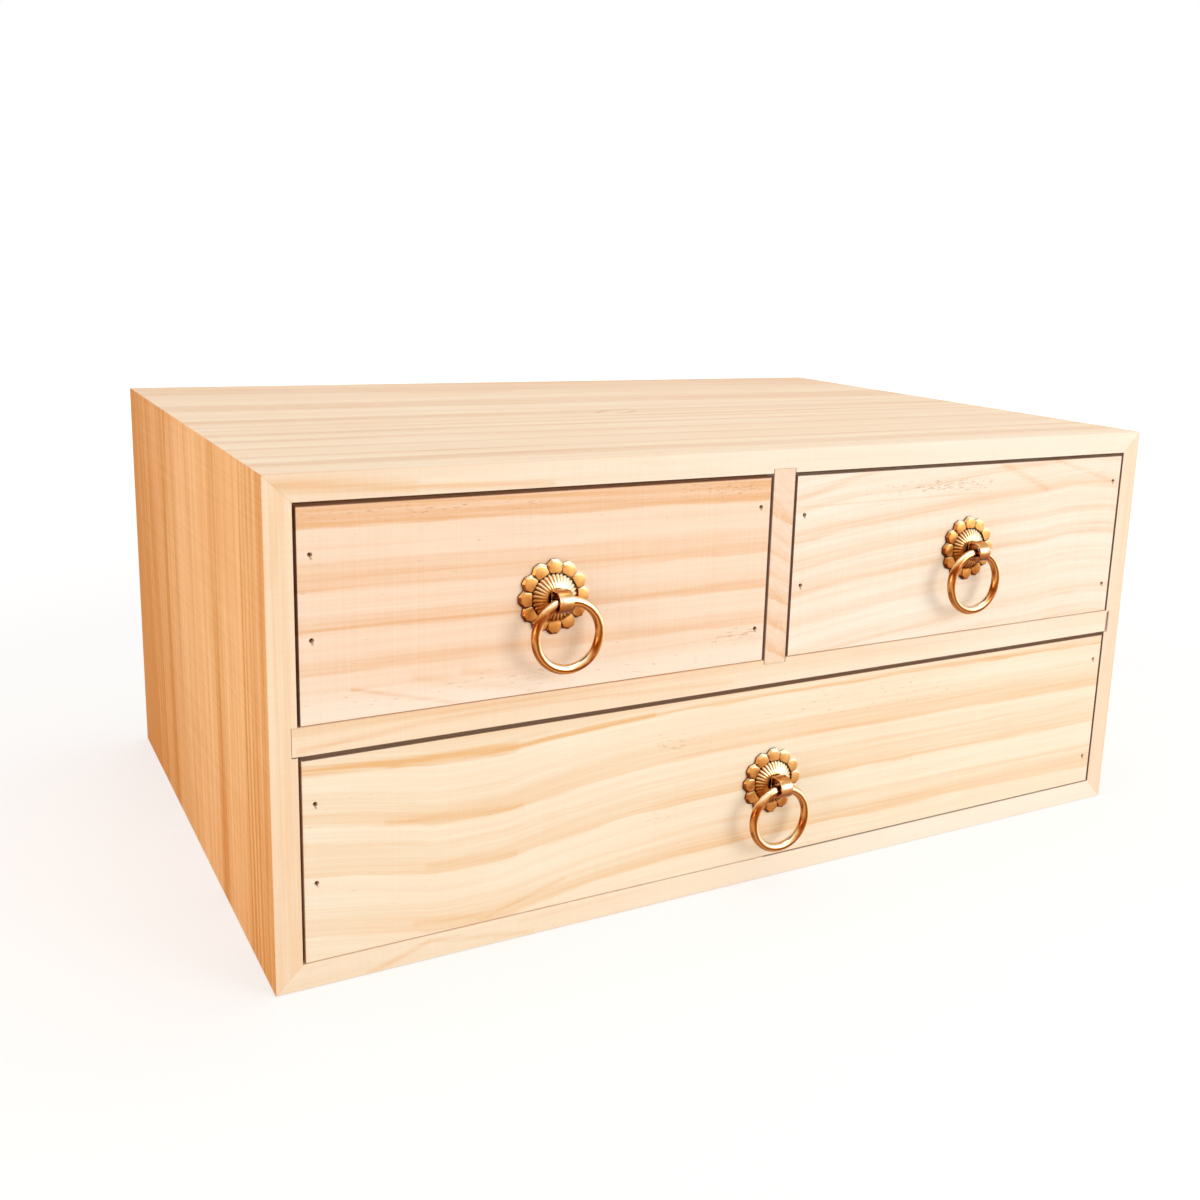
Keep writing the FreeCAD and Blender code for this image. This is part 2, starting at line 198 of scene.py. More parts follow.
class Graph:
    """The node tree of a finish or of the surroundings, built from left to right."""

    def __init__(self, owner: Union[bpy.types.Material, bpy.types.World]) -> None:
        """Starts an empty tree.

        Args:
            owner: the material or the world that the tree belongs to.
        """
        owner.use_nodes = True
        self.owner = owner
        self.tree = owner.node_tree
        self.tree.nodes.clear()

    def feed(self, socket: bpy.types.NodeSocket, value: Given) -> None:
        """Links a socket to a value of the graph, or sets its own number, vector or colour.

        Args:
            socket: the input.
            value: what it gets; None leaves it as it is.
        """
        if isinstance(value, Value):
            self.tree.links.new(value.socket, socket)
        elif value is not None:
            socket.default_value = value.linear() if isinstance(value, Tint) else value

    def node(self, kind: str, *values: Given, **named: object) -> bpy.types.Node:
        """Adds a node.

        Args:
            kind: the node's type, without the ShaderNode that all of them start with.
            values: what its inputs get, in their order; None leaves one as it is.
            named: properties, and inputs by their name, with underscores for spaces.

        Returns:
            The new node.
        """
        made = self.tree.nodes.new("ShaderNode" + kind)
        for socket, value in zip(made.inputs, values):
            self.feed(socket, value)
        for key, value in named.items():
            name = key.replace("_", " ")
            if name in made.inputs:
                self.feed(made.inputs[name], value)
            elif value is not None:
                setattr(made, key, value)
        return made

    def step(self, kind: str, *values: Given, output: Union[int, str] = 0,
             **named: object) -> Value:
        """Adds a node and gives one of its outputs."""
        return Value(self, self.node(kind, *values, **named).outputs[output])

    def math(self, operation: str, *values: Given) -> Value:
        """One arithmetic step, named as the Math node has it."""
        return self.step("Math", *values, operation=operation)

    def vector(self, operation: str, *values: Given, scale: Given = None) -> Value:
        """One step on vectors, named as the Vector Math node has it."""
        output = 1 if operation in ("DISTANCE", "DOT_PRODUCT", "LENGTH") else 0
        return self.step("VectorMath", *values, output=output, operation=operation, Scale=scale)

    def combined(self, *parts: Given) -> Value:
        """The vector of up to three parts."""
        return self.step("CombineXYZ", *parts)

    def split(self, vector: Value) -> list[Value]:
        """The three parts of a vector."""
        return [Value(self, socket) for socket in self.node("SeparateXYZ", vector).outputs]

    @cached_property
    def places(self) -> Value:
        """Object coordinates in millimetres."""
        return self.vector("SCALE", self.step("TexCoord", output="Object"), scale=1 / MM)

    @cached_property
    def normal(self) -> Value:
        """The way that the surface faces."""
        return self.step("TexCoord", output="Normal")

    def noise(self, where: Value, layer: Layer) -> Value:
        """A cloudy pattern from 0 to 1, looked up at a place."""
        return self.step("TexNoise", self.vector("DIVIDE", where, layer.cell), Scale=1.0,
                         Detail=layer.detail, Roughness=layer.roughness)

    def ramp(self, source: Value, stops: Sequence[tuple[float, Union[float, Tint]]]) -> Value:
        """Straight runs of numbers or colours through the given stops.

        Args:
            source: value that is looked up.
            stops: pairs of a value and the result there, in rising order, 32 at most.

        Returns:
            The result.
        """
        low, high = stops[0][0], stops[-1][0]
        made = self.step("ValToRGB", source.scaled(low, high, 0.0, 1.0))
        elements = made.socket.node.color_ramp.elements
        while len(elements) > 1:
            elements.remove(elements[-1])
        for number, (value, result) in enumerate(stops):
            place = (value - low) / (high - low)
            element = elements.new(place) if number else elements[0]
            element.position = place
            element.color = (result.linear() if isinstance(result, Tint)
                             else (result, result, result, 1.0))
        return made

    def curve(self, source: Value, stops: Stops) -> Value:
        """A smooth curve through the given stops.

        Args:
            source: value that is looked up.
            stops: pairs of a value and the result there, in rising order.

        Returns:
            The result.
        """
        low, high = stops[0][0], stops[-1][0]
        results = [result for _, result in stops]
        least, most = min(results), max(results)
        made = self.step("FloatCurve", Value=source.scaled(low, high, 0.0, 1.0))
        mapping = made.socket.node.mapping
        points = mapping.curves[0].points
        for number, (value, result) in enumerate(stops):
            place = ((value - low) / (high - low), (result - least) / (most - least))
            if number < 2:
                points[number].location = place
            else:
                points.new(*place)
        mapping.update()
        return made.scaled(0.0, 1.0, least, most)

    def blend(self, share: Given, a: Given, b: Given, how: str = "MIX") -> Value:
        """Mixes two colours.

        Args:
            share: how much of the second shows, from 0 to 1.
            a: first colour.
            b: second colour.
            how: the way they mix.

        Returns:
            The mixed colour.
        """
        unused = (None,) * 5
        return self.step("Mix", share, *unused, a, b, output=2, data_type="RGBA",
                         blend_type=how, clamp_factor=True)

    def finish(self, colour: Value, roughness: Given, height: Optional[Value] = None,
               relief: float = 0.0, **sockets: float) -> bpy.types.Material:
        """Closes the graph of a finish with its surface.

        Args:
            colour: base colour.
            roughness: roughness of the surface.
            height: pattern of the fine relief, from 0 to 1.
            relief: full height of that relief, in millimetres.
            sockets: other inputs of the surface, underscores for spaces.

        Returns:
            The material.
        """
        normal = height and self.step("Bump", Strength=1.0, Distance=relief * MM, Height=height)
        surface = self.step("BsdfPrincipled", Base_Color=colour, Roughness=roughness,
                            Normal=normal, **sockets)
        self.node("OutputMaterial", surface)
        return self.owner


class LaidGraph(Graph):
    """The graph of a finish that follows how its board or panel lies.

    Attributes:
        lay: how it lies.
        along: place along the grain.
        across: place across the face.
        through: place through the thickness.
        flat: place on the face, along and across.
        side: place on a planed edge, along and through.
    """

    def __init__(self, name: str, lay: Lay) -> None:
        """Starts an empty material.

        Args:
            name: the finish that the material shows.
            lay: how the board or panel lies.
        """
        super().__init__(bpy.data.materials.new(name))
        self.lay = lay
        self.along, self.across, self.through = self.laid(self.places)
        self.flat = self.combined(self.along, self.across)
        self.side = self.combined(self.along, self.through)

    def laid(self, vector: Value) -> list[Value]:
        """A vector's parts along the grain, across the face and through the thickness."""
        parts = self.split(vector)
        return [parts[axis] for axis in self.lay.value]

    def cloud(self, where: Value, layer: Layer) -> Value:
        """A cloudy pattern at a place in the chest, its cells turned as the board lies.

        Args:
            where: the place it is looked up at.
            layer: the pattern.

        Returns:
            The pattern, from 0 to 1.
        """
        cell = [0.0, 0.0, 0.0]
        for axis, size in zip(self.lay.value, layer.cell):
            cell[axis] = size
        return self.noise(where, replace(layer, cell=cell))

    def mound(self, patch: Patch) -> Value:
        """A soft mound on the face, as high as its patch is strong.

        Args:
            patch: where the mound is and how far it reaches.

        Returns:
            The mound.
        """
        along = (self.along - patch.along) / patch.reach_along
        across = (self.across - patch.across) / patch.reach_across
        power = (along * along + across * across) * -1.0
        return self.math("EXPONENT", power) * patch.strength

    def line(self, where: Value, streak: Streak) -> Value:
        """A thin line between two places, fading out sideways.

        Args:
            where: place on the face or on a planed edge.
            streak: the line.

        Returns:
            Its darkness.
        """
        run = Vector((streak.end[0] - streak.start[0], streak.end[1] - streak.start[1], 0))
        offset = self.vector("SUBTRACT", where, (*streak.start, 0.0))
        share = self.vector("DOT_PRODUCT", offset, tuple(run / run.length_squared))
        foot = self.vector("SCALE", tuple(run), scale=share.at_least(0.0).at_most(1.0))
        away = self.vector("DISTANCE", offset, foot)
        return away.scaled(0.0, streak.width, streak.strength, 0.0)

    def lines(self, where: Value, streaks: Sequence[Streak]) -> Value:
        """The darkest of several lines at each place."""
        return reduce(Value.at_least, (self.line(where, streak) for streak in streaks))

    def ragged(self, spots: Sequence[Spot], torn: float) -> Value:
        """Distance on the face to the nearest of several spots, torn by a fine noise.

        Args:
            spots: the spots, along and across.
            torn: how far the noise moves the distance.

        Returns:
            The torn distance.
        """
        away = (self.vector("DISTANCE", self.flat, (*spot, 0.0)) for spot in spots)
        return reduce(Value.at_most, away) + (self.noise(self.flat, TEAR) - 0.5) * torn


# ---------------------------------------------------------------- pine
TEAR = Layer((0.9, 0.9, 0.9))
DRIFT = Layer((140.0, 26.0, 26.0), 1.0)
FRAY = Layer((38.0, 2.4, 2.4), 2.0, 0.6)
STRANDS = Layer((85.0, 1.3, 1.3), 2.0, 0.6)
BROAD = Layer((220.0, 11.0, 11.0), 1.0)
FIBRE = Layer((55.0, 0.55, 0.55), 3.0, 0.6)
SAW_MARKS = Layer((0.8, 90.0, 90.0), 1.0, 0.6)
CLOUD = Layer((70.0, 30.0, 30.0))
RESIN = Layer((3.4, 0.42, 0.42), 1.0)

RING_STRANDS = (0.6, 1.3)  # strength of a ring where a strand is pale and where it is dark
RING_CLOUDS = (0.8, 1.2)
STREAK_STRANDS = (0.35, 1.2)
SQUARE = (0.8, 0.95)  # how squarely a surface faces an axis: too little, and enough to count
ARRIS_TURN = (0.8, 0.97)  # how squarely an arris faces any axis, at its middle and at its edge
END_GRAIN = 0.22  # how much darker the end grain is
PINE_ROUGHNESS = (0.52, 0.66)
PINE_RELIEF = 0.05

NEAR_WHITE = Tint(255, 247, 233)
CLOUDED = Tint(255, 245, 237)
RESIN_BROWN = Tint(176, 116, 74)
SCRATCH_BROWN = Tint(104, 62, 36)
ARRIS_TAN = Tint(226, 178, 132)
OPEN_JOINT_SHADE = Tint(92, 42, 18)
# Painted shade of the gaps round the drawers, with dirt.
SHADE_AND_DIRT = Tint(98, 40, 16)


def grown_rings(low: float, high: float, pitch: float, seed: int) -> Stops:
    """Growth rings across a board, each with a soft pale side and a sharp dark one.

    Args:
        low: where the board starts.
        high: where it ends.
        pitch: usual width of a ring.
        seed: makes one board differ from the next.

    Returns:
        Stops of place and darkness.
    """
    draw = random.Random(seed)
    board_edge, early_wood, late_wood, most_stops = 0.15, 0.1, 0.55, 28
    stops = [(low, board_edge)]
    place = low + pitch * draw.uniform(0.3, 0.8)
    while place < high - 0.3 * pitch and len(stops) < most_stops:
        width = pitch * draw.uniform(0.75, 1.35)
        dark = late_wood * draw.uniform(0.45, 1.1)
        stops += [(place, early_wood), (place + 0.07 * width, dark),
                  (place + 0.4 * width, 0.55 * dark), (place + 0.72 * width, early_wood)]
        place += width
    return (*(stop for stop in stops if stop[0] < high), (high, board_edge))


@dataclass(frozen=True)
class Pine:
    """Planed pine, cut and coloured for one board.

    Attributes:
        name: the board.
        lay: how it lies.
        pale: colour of the early wood.
        tan: colour of the late wood.
        rings: darkness of the growth rings across the face.
        bend: sideways drift of the rings along the grain.
        bend_fade: two places across the face and the share of the bend at each.
        fade: two places along the grain and the strength of the rings at each.
        slope: how far the rings lean through the thickness.
        face: where the visible face lies, through the thickness.
        wander: how far the rings wander on their own.
        fine: width and strength of the narrow rings between the strong ones.
        fibre: strength of the fine fibre lines.
        saw: strength of the cross marks that a saw or planer leaves.
        edge_pale: colour of the early wood on the planed edges, where it differs.
        edge_tan: colour of the late wood there.
        seed: makes the fine figure differ from the next board's.
        swells: bulges in the rings, as round a knot; their strength is how far they push.
        dark_patches: soft darker places; on the left side they are painted shade.
        fleck_patches: places with more resin flecks.
        streaks: single dark lines.
        pales: soft places painted nearly white.
        nails: places of nails in the face, with a scratch below each.
        fray: how far the rings' edges fray along the grain.
        dirt_and_shade: directions that the darkened arrises face, those that look into the gaps
            round a drawer: painted shade of the gaps, with dirt where a drawer rubs.
        gloss: how strongly its surface reflects.
        darkened_within: distance from the middle of the chest, through the boards, within which
        arrises are darkened.
        edge_streaks: lines on the planed edges, placed along the grain and through the board.
        gaps: dark lines painted on the planed edges as the shade in open joints, placed likewise.
    """

    name: str
    lay: Lay
    pale: Tint = Tint(254, 232, 206)
    tan: Tint = Tint(240, 188, 136)
    rings: Stops = ((0.0, 0.2), (1.0, 0.2))
    bend: Stops = ()
    bend_fade: tuple[float, ...] = ()
    fade: tuple[float, ...] = ()
    slope: float = 0.5
    face: float = 0.0
    wander: float = 1.2
    fine: Spot = (2.4, 0.12)
    fibre: float = 0.22
    saw: float = 0.05
    edge_pale: Optional[Tint] = None
    edge_tan: Optional[Tint] = None
    seed: int = 0
    swells: tuple[Patch, ...] = ()
    dark_patches: tuple[Patch, ...] = ()
    fleck_patches: tuple[Patch, ...] = ()
    streaks: tuple[Streak, ...] = ()
    pales: tuple[Patch, ...] = ()
    nails: tuple[Spot, ...] = ()
    fray: float = 0.7
    dirt_and_shade: tuple[Triple, ...] = ()
    gloss: float = 0.3
    darkened_within: float = 1000.0
    edge_streaks: tuple[Streak, ...] = ()
    gaps: tuple[Streak, ...] = ()

    def paint(self) -> bpy.types.Material:
        """Builds the material.

        Returns:
            The pine of this board.
        """
        graph = LaidGraph("pine_" + self.name, self.lay)
        moved = graph.vector("ADD", graph.places, (37.0 * self.seed, 11.0 * self.seed, 5.0))
        level = self._level(graph, moved)
        grain = graph.vector("ADD", graph.combined(graph.along, level, graph.through),
                             (53.0 * self.seed, 29.0 * self.seed, 17.0 * self.seed))
        ends, edges, wide = graph.laid(graph.vector("ABSOLUTE", graph.normal))
        arris = ends.at_least(edges).at_least(wide).scaled(*ARRIS_TURN, 0.35, 0.0)
        ends, edges = (facing.scaled(*SQUARE, 0.0, 1.0) for facing in (ends, edges))

        # how dark the wood is
        fibre = graph.noise(grain, FIBRE)
        narrow = graph.noise(grain, Layer((160.0, self.fine[0], 6.0), 2.0, 0.55))
        strands = graph.noise(grain, STRANDS)
        broken = strands.scaled(NOISE_LOW, 0.65, *STREAK_STRANDS)
        saw = graph.cloud(moved, SAW_MARKS)
        edge = level + (graph.cloud(moved, FRAY) - 0.5) * (4 * self.fray)
        rings = graph.ramp(edge, self.rings) * strands.swing(*RING_STRANDS)
        if self.fade:
            rings = rings * graph.along.scaled(*self.fade)
        tone = (rings * graph.noise(grain, BROAD).swing(*RING_CLOUDS)
                + narrow.swing(-self.fine[1], self.fine[1])
                + fibre.scaled(0.25, 0.75, -self.fibre / 2, self.fibre / 2))
        for dark_spot in self.dark_patches:
            tone = tone + graph.mound(dark_spot)
        if self.streaks:
            tone = tone + graph.lines(graph.flat, self.streaks) * broken
        tone = tone + ends * END_GRAIN
        if self.edge_streaks:
            tone = tone + edges * broken * graph.lines(graph.side, self.edge_streaks)
        tone = (tone + saw.swing(-self.saw, self.saw)).at_least(0.0)

        # its colour
        pale, tan = self.pale, self.tan
        if self.edge_pale and self.edge_tan:
            pale = graph.blend(edges, pale, self.edge_pale)
            tan = graph.blend(edges, tan, self.edge_tan)
        wood = graph.blend(tone, pale, tan)
        for patch in self.pales:
            wood = graph.blend(graph.mound(patch), wood, NEAR_WHITE)
        clouded = graph.cloud(moved, CLOUD).scaled(0.35, 0.7, 0.0, 0.5)
        wood = graph.blend(clouded, wood, CLOUDED, "MULTIPLY")
        wood = graph.blend(self._flecks(graph, grain), wood, RESIN_BROWN)
        if self.nails:
            wood = graph.blend(self._scratches(graph), wood, SCRATCH_BROWN)
        wood = graph.blend(arris, wood, ARRIS_TAN)
        # Painted shade in the open joints.
        if self.gaps:
            wood = graph.blend(graph.lines(graph.side, self.gaps), wood, OPEN_JOINT_SHADE)
        # Painted shade in the gaps round the drawers, with dirt where they rub.
        if self.dirt_and_shade:
            wood = graph.blend(self._dirt_and_gap_shade(graph), wood, SHADE_AND_DIRT)

        height = fibre * 0.5 + saw * (4 * self.saw) + tone * 0.3
        return graph.finish(wood, narrow.swing(*PINE_ROUGHNESS), height, PINE_RELIEF,
                            Specular_IOR_Level=self.gloss)

    def _level(self, graph: LaidGraph, moved: Value) -> Value:
        """Tells which growth ring a place lies in.

        Args:
            graph: the graph being built.
            moved: place in the chest, moved on by the board's seed.

        Returns:
            Where that ring would cross the face of an evenly grown board.
        """
        drift = graph.cloud(moved, DRIFT) - 0.5
        level = (graph.across + (graph.through - self.face) * self.slope
                 + drift * (2 * self.wander))
        if self.bend:
            bent = graph.curve(graph.along, self.bend)
            if self.bend_fade:
                bent = bent * graph.across.scaled(*self.bend_fade)
            level = level + bent
        for swell in self.swells:
            level = level + graph.mound(swell)
        return level

    def _flecks(self, graph: LaidGraph, grain: Value) -> Value:
        """Short resin flecks, a few all over and more in their patches.

        Args:
            graph: the graph being built.
            grain: place along the grain and among the rings.

        Returns:
            How strongly they show.
        """
        rare, gain, rim, strength = 0.7736, 0.22, 0.05, 0.42
        depth = graph.noise(grain, RESIN) - rare
        for patch in self.fleck_patches:
            depth = depth + graph.mound(patch) * gain
        return depth.scaled(0.0, rim, 0.0, strength)

    def _scratches(self, graph: LaidGraph) -> Value:
        """The scratch just below each nail, where the punch slipped off its head.

        Args:
            graph: the graph being built.

        Returns:
            How strongly it shows.
        """
        beside, below, torn = 0.25, -1.25, 1.5
        spots = [(along + beside, across + below) for along, across in self.nails]
        return graph.ragged(spots, torn).scaled(0.1, 0.6, 0.6, 0.0)

    def _dirt_and_gap_shade(self, graph: LaidGraph) -> Value:
        """Painted shade of the gaps round a drawer, with dirt, on the arrises and just behind
        them.

        Args:
            graph: the graph being built.

        Returns:
            How dark it is painted.
        """
        reach, strength = 3.4, 0.85
        near = graph.split(graph.places)[1].scaled(CASE_FRONT, CASE_FRONT + reach, 1.0, 0.0)
        shares = []
        for right, forward, up in self.dirt_and_shade:
            facing = Vector((right, forward, up)).normalized()
            arris = graph.vector("DOT_PRODUCT", graph.normal, tuple(facing))
            beside = graph.vector("DOT_PRODUCT", graph.normal, (right, 0.0, up))
            shares += [arris.scaled(0.78, 0.93, 0.0, 1.0),
                       beside.scaled(0.9, 0.98, 0.0, 1.0) * near]
        inside = graph.math("LESS_THAN", graph.math("ABSOLUTE", graph.through),
                            self.darkened_within)
        return reduce(Value.at_least, shares) * inside * strength


# ---------------------------------------------------------------- plywood
PEEL = Layer((150.0, 42.0, 60.0), 1.5, 0.45)
PLY_FIBRE = Layer((26.0, 0.7, 0.7), 3.0, 0.6)
PLY_CLOUD = Layer((90.0, 50.0, 50.0))
PORES = Layer((2.2, 0.3, 0.3), 1.0)


@dataclass(frozen=True)
class Plywood:
    """Thin birch-faced plywood with a rotary-cut figure.

    Attributes:
        name: the panel.
        lay: how it lies.
        seed: makes the figure differ from the next panel's.
        pale: colour of the early wood.
        tan: colour of the late wood.
        pore: colour of the pores.
        turns: how many times the figure rises and falls through the peeled layer.
    """

    name: str
    lay: Lay
    seed: int
    pale: Tint = Tint(246, 224, 190)
    tan: Tint = Tint(226, 188, 140)
    pore: Tint = Tint(170, 122, 80)
    turns: float = 58.0

    def paint(self) -> bpy.types.Material:
        """Builds the material.

        Returns:
            The plywood of this panel.
        """
        graph = LaidGraph("plywood_" + self.name, self.lay)
        sheet = graph.combined(graph.along, graph.across, graph.through)
        moved = graph.vector("ADD", sheet, (61.0 * self.seed, 23.0, 7.0))
        waves = graph.math("SINE", graph.noise(moved, PEEL) * self.turns)
        fibre = graph.noise(moved, PLY_FIBRE)
        tone = (waves.scaled(-1.0, 1.0, 0.1, 0.55) + fibre.swing(-0.18, 0.18)
                + graph.noise(moved, PLY_CLOUD).swing(-0.12, 0.15))
        wood = graph.blend(tone.at_least(0.0), self.pale, self.tan)
        pores = graph.noise(moved, PORES).scaled(0.68, 0.76, 0.0, 0.35)
        return graph.finish(graph.blend(pores, wood, self.pore), 0.6, fibre, 0.03,
                            Specular_IOR_Level=0.3)


# ---------------------------------------------------------------- metals
PATINA = Layer((3.1, 3.1, 3.1), 3.0, 0.55)
HAIR_SCRATCH = Layer((0.25, 0.25, 2.4), 2.0, 0.6)
SOOT = Layer((0.8, 0.8, 0.8))
HOLLOW_DEPTH = 0.88  # how dark a hollow is at its darkest


@dataclass(frozen=True)
class Hollow:
    """A recess painted dark: painted shade where little light reaches into it.

    Attributes:
        centre: its middle, None on an axis along which it has no end.
        dark: distance from its middle at which it is darkest.
        clear: distance at which the darkness has gone.
        side: the side of the pull where the painted shade is darkest, to the right, forwards and
            upwards.
    """

    centre: tuple[Optional[float], ...]
    dark: float
    clear: float
    side: Optional[Triple] = None


@dataclass(frozen=True)
class Brass:
    """Brass whose colour holds painted light: painted highlights and reflections where it faces
    away from its shaded side, painted shade and dark reflections where it faces it.

    Attributes:
        tones: colours by how far the surface faces the shaded side, from -1 to 1: painted
            highlights, reflections and shade.
        shade_facing: direction that the painted shade faces.
        polish: roughness of the rubbed metal.
        cloud: how far the tone wanders over a plain surface.
        drift: how much more painted shade the far side of the pull gets.
        name: the piece it is for.
        middle: centre of the pull, to the right and upwards.
        hollows: where it is painted dark as shade.
        recess_shade: colour of the painted shade in the hollows.
    """

    tones: tuple[tuple[float, Tint], ...]
    shade_facing: Triple
    polish: float
    cloud: float
    drift: float = 0.0
    name: str = ""
    middle: Spot = (0.0, 0.0)
    hollows: tuple[Hollow, ...] = ()
    recess_shade: Tint = Tint(76, 28, 12)

    def paint(self) -> bpy.types.Material:
        """Builds the material.

        Returns:
            The brass of this piece.
        """
        graph = Graph(bpy.data.materials.new("brass_" + self.name))
        side = Vector(self.shade_facing).normalized()
        across = Vector((side.x, 0, side.z)).normalized()
        lean = graph.vector("DOT_PRODUCT", graph.normal, tuple(side))
        offset = graph.vector("SUBTRACT", graph.places, (self.middle[0], 0, self.middle[1]))
        far = graph.vector("DOT_PRODUCT", offset, tuple(across / PULL_REACH))
        patina = graph.noise(graph.places, PATINA).swing(-self.cloud, self.cloud)
        # Painted light: the colour follows the way the surface faces, as highlights, reflections
        # and shade.
        metal = graph.ramp(lean + patina + far * self.drift, self.tones)
        parts = graph.split(graph.places)
        # Painted shade in each hollow; where a hollow has a side, darker on that side of the pull.
        for hollow in self.hollows:
            spot = graph.combined(*(None if place is None else part
                                    for place, part in zip(hollow.centre, parts)))
            away = graph.vector("DISTANCE", spot, [place or 0.0 for place in hollow.centre])
            depth = away.scaled(hollow.dark, hollow.clear, HOLLOW_DEPTH, 0.0)
            if hollow.side:
                towards = Vector(hollow.side).normalized() / PULL_REACH
                share = graph.vector("DOT_PRODUCT", offset, tuple(towards))
                depth = depth * share.scaled(-0.3, 0.4, 0.0, 1.0)
            metal = graph.blend(depth, metal, self.recess_shade)
        scratch = graph.noise(graph.places, HAIR_SCRATCH)
        roughness = scratch.swing(self.polish - 0.04, self.polish + 0.07)
        return graph.finish(metal, roughness, scratch, 0.004, Metallic=1.0)


@dataclass(frozen=True)
class Steel:
    """Dull wire nails, their heads partly under wood dust.

    Attributes:
        name: the nails.
        heads: places of the heads on the drawer front, where they are seen.
        grey: colour of the metal.
        rust: colour of the dirt on it.
        dust: colour of the wood dust.
    """

    name: str
    heads: tuple[Spot, ...] = ()
    grey: Tint = Tint(84, 62, 48)
    rust: Tint = Tint(48, 26, 14)
    dust: Tint = Tint(240, 204, 166)

    def paint(self) -> bpy.types.Material:
        """Builds the material.

        Returns:
            The steel.
        """
        graph = LaidGraph("steel_" + self.name, Lay.FRONT)
        dirt = graph.noise(graph.places, SOOT)
        metal = graph.blend(dirt.scaled(0.4, 0.7, 0.0, 0.7), self.grey, self.rust)
        if self.heads:
            rim = graph.ragged(self.heads, 1.0).scaled(0.5, 0.72, 0.0, 0.9)
            metal = graph.blend(rim, metal, self.dust)
        return graph.finish(metal, dirt.swing(0.4, 0.65), Metallic=0.5)


# ---------------------------------------------------------------- mesh helpers
def only(obj: Piece) -> Piece:
    """Deselects everything else and makes one object active.

    Args:
        obj: the object.

    Returns:
        The object.
    """
    for other in bpy.context.selected_objects:
        other.select_set(False)
    obj.select_set(True)
    bpy.context.view_layer.objects.active = obj
    return obj


def named(obj: Piece, name: str) -> Piece:
    """Names an object and its mesh."""
    obj.name = obj.data.name = name
    return obj


def added(name: str) -> Piece:
    """Names the primitive that was just added, and brings its place into its mesh.

    Args:
        name: name of the piece.

    Returns:
        The piece, active.
    """
    obj = named(only(bpy.context.object), name)
    bpy.ops.object.transform_apply(location=True, rotation=True, scale=True)
    return obj


@contextmanager
def editing() -> Iterator[None]:
    """Holds the active object in edit mode, with everything selected at first."""
    bpy.ops.object.mode_set(mode="EDIT")
    bpy.ops.mesh.select_all(action="SELECT")
    yield
    bpy.ops.object.mode_set(mode="OBJECT")


def pick(obj: Piece, element: str, test: Callable[[object], bool]) -> None:
    """Selects the vertices, edges or faces of the object in edit mode that pass a test.

    Args:
        obj: the object being edited.
        element: "verts", "edges" or "faces".
        test: says whether one of them is wanted.
    """
    bpy.ops.mesh.select_mode(type={"verts": "VERT", "edges": "EDGE", "faces": "FACE"}[element])
    bpy.ops.mesh.select_all(action="DESELECT")
    shell = bmesh.from_edit_mesh(obj.data)
    shell.normal_update()
    for part in [part for part in getattr(shell, element) if test(part)]:
        part.select_set(True)
    shell.select_flush_mode()
    bmesh.update_edit_mesh(obj.data)


def pick_top(obj: Piece) -> None:
    """Selects the faces that look up."""
    pick(obj, "faces", lambda face: face.normal.z > 0.9)


def smoothed(obj: Piece, degrees: float) -> Piece:
    """Shades the active object smooth across all edges softer than an angle."""
    bpy.ops.object.shade_smooth_by_angle(angle=math.radians(degrees))
    return obj


def bevelled(obj: Piece, width: float, **settings: object) -> None:
    """Rounds the edges of an object with a bevel that is applied.

    Args:
        obj: the piece.
        width: of the bevel, in millimetres.
        settings: other properties of the modifier.
    """
    only(obj)
    modifier = obj.modifiers.new("bevel", "BEVEL")
    modifier.width = width * MM
    modifier.segments = 2
    for key, value in settings.items():
        setattr(modifier, key, value)
    bpy.ops.object.modifier_apply(modifier=modifier.name)


def copy_of(obj: Piece, name: str) -> Piece:
    """Copies an object together with its mesh.

    Args:
        obj: the object, which stays as it is.
        name: name of the copy.

    Returns:
        The copy.
    """
    twin = named(bpy.data.objects.new(name, obj.data.copy()), name)
    bpy.context.scene.collection.objects.link(twin)
    return twin


def merged(node: Piece, name: str) -> Piece:
    """Copies a part and makes whole faces of its loose triangles.

    Args:
        node: the part, which stays as it is.
        name: name of the copy.

    Returns:
        The copy, active.
    """
    twin = only(copy_of(node, name))
    with editing():
        bpy.ops.mesh.remove_doubles(threshold=0.001 * MM)
        bpy.ops.mesh.dissolve_limited(angle_limit=math.radians(0.5))
    return twin


def joined(pieces: Sequence[Piece], name: str) -> Piece:
    """Joins several objects into the first.

    Args:
        pieces: the objects.
        name: name of what they become.

    Returns:
        The joined object, active.
    """
    only(pieces[0])
    for piece in pieces:
        piece.select_set(True)
    bpy.ops.object.join()
    return named(pieces[0], name)


def dressed(piece: Piece, body: str, slot: str, material: bpy.types.Material,
            *nodes: str) -> Piece:
    """Gives a piece its finish, its body and the parts that it stands for.

    Args:
        piece: the finished piece.
        body: the moving body that it rides on.
        slot: the record's material slot; not used.
        material: its finish.
        nodes: the CAD nodes that it stands for.

    Returns:
        The piece.
    """
    piece.data.materials.clear()
    piece.data.materials.append(material)
    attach(piece, body)
    if nodes:
        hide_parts(*nodes)
    LOG.info("%s rides on %s: %d faces", piece.name, body, len(piece.data.polygons))
    return piece


def refinish(node: Piece, material: bpy.types.Material) -> None:
    """Puts a finish into every material slot of a part that keeps its own shape.

    Args:
        node: the part.
        material: its finish.
    """
    if not node.material_slots:
        node.data.materials.append(material)
    for slot in node.material_slots:
        slot.material = material
    LOG.info("%s keeps its shape, finish %s", node.name, material.name)


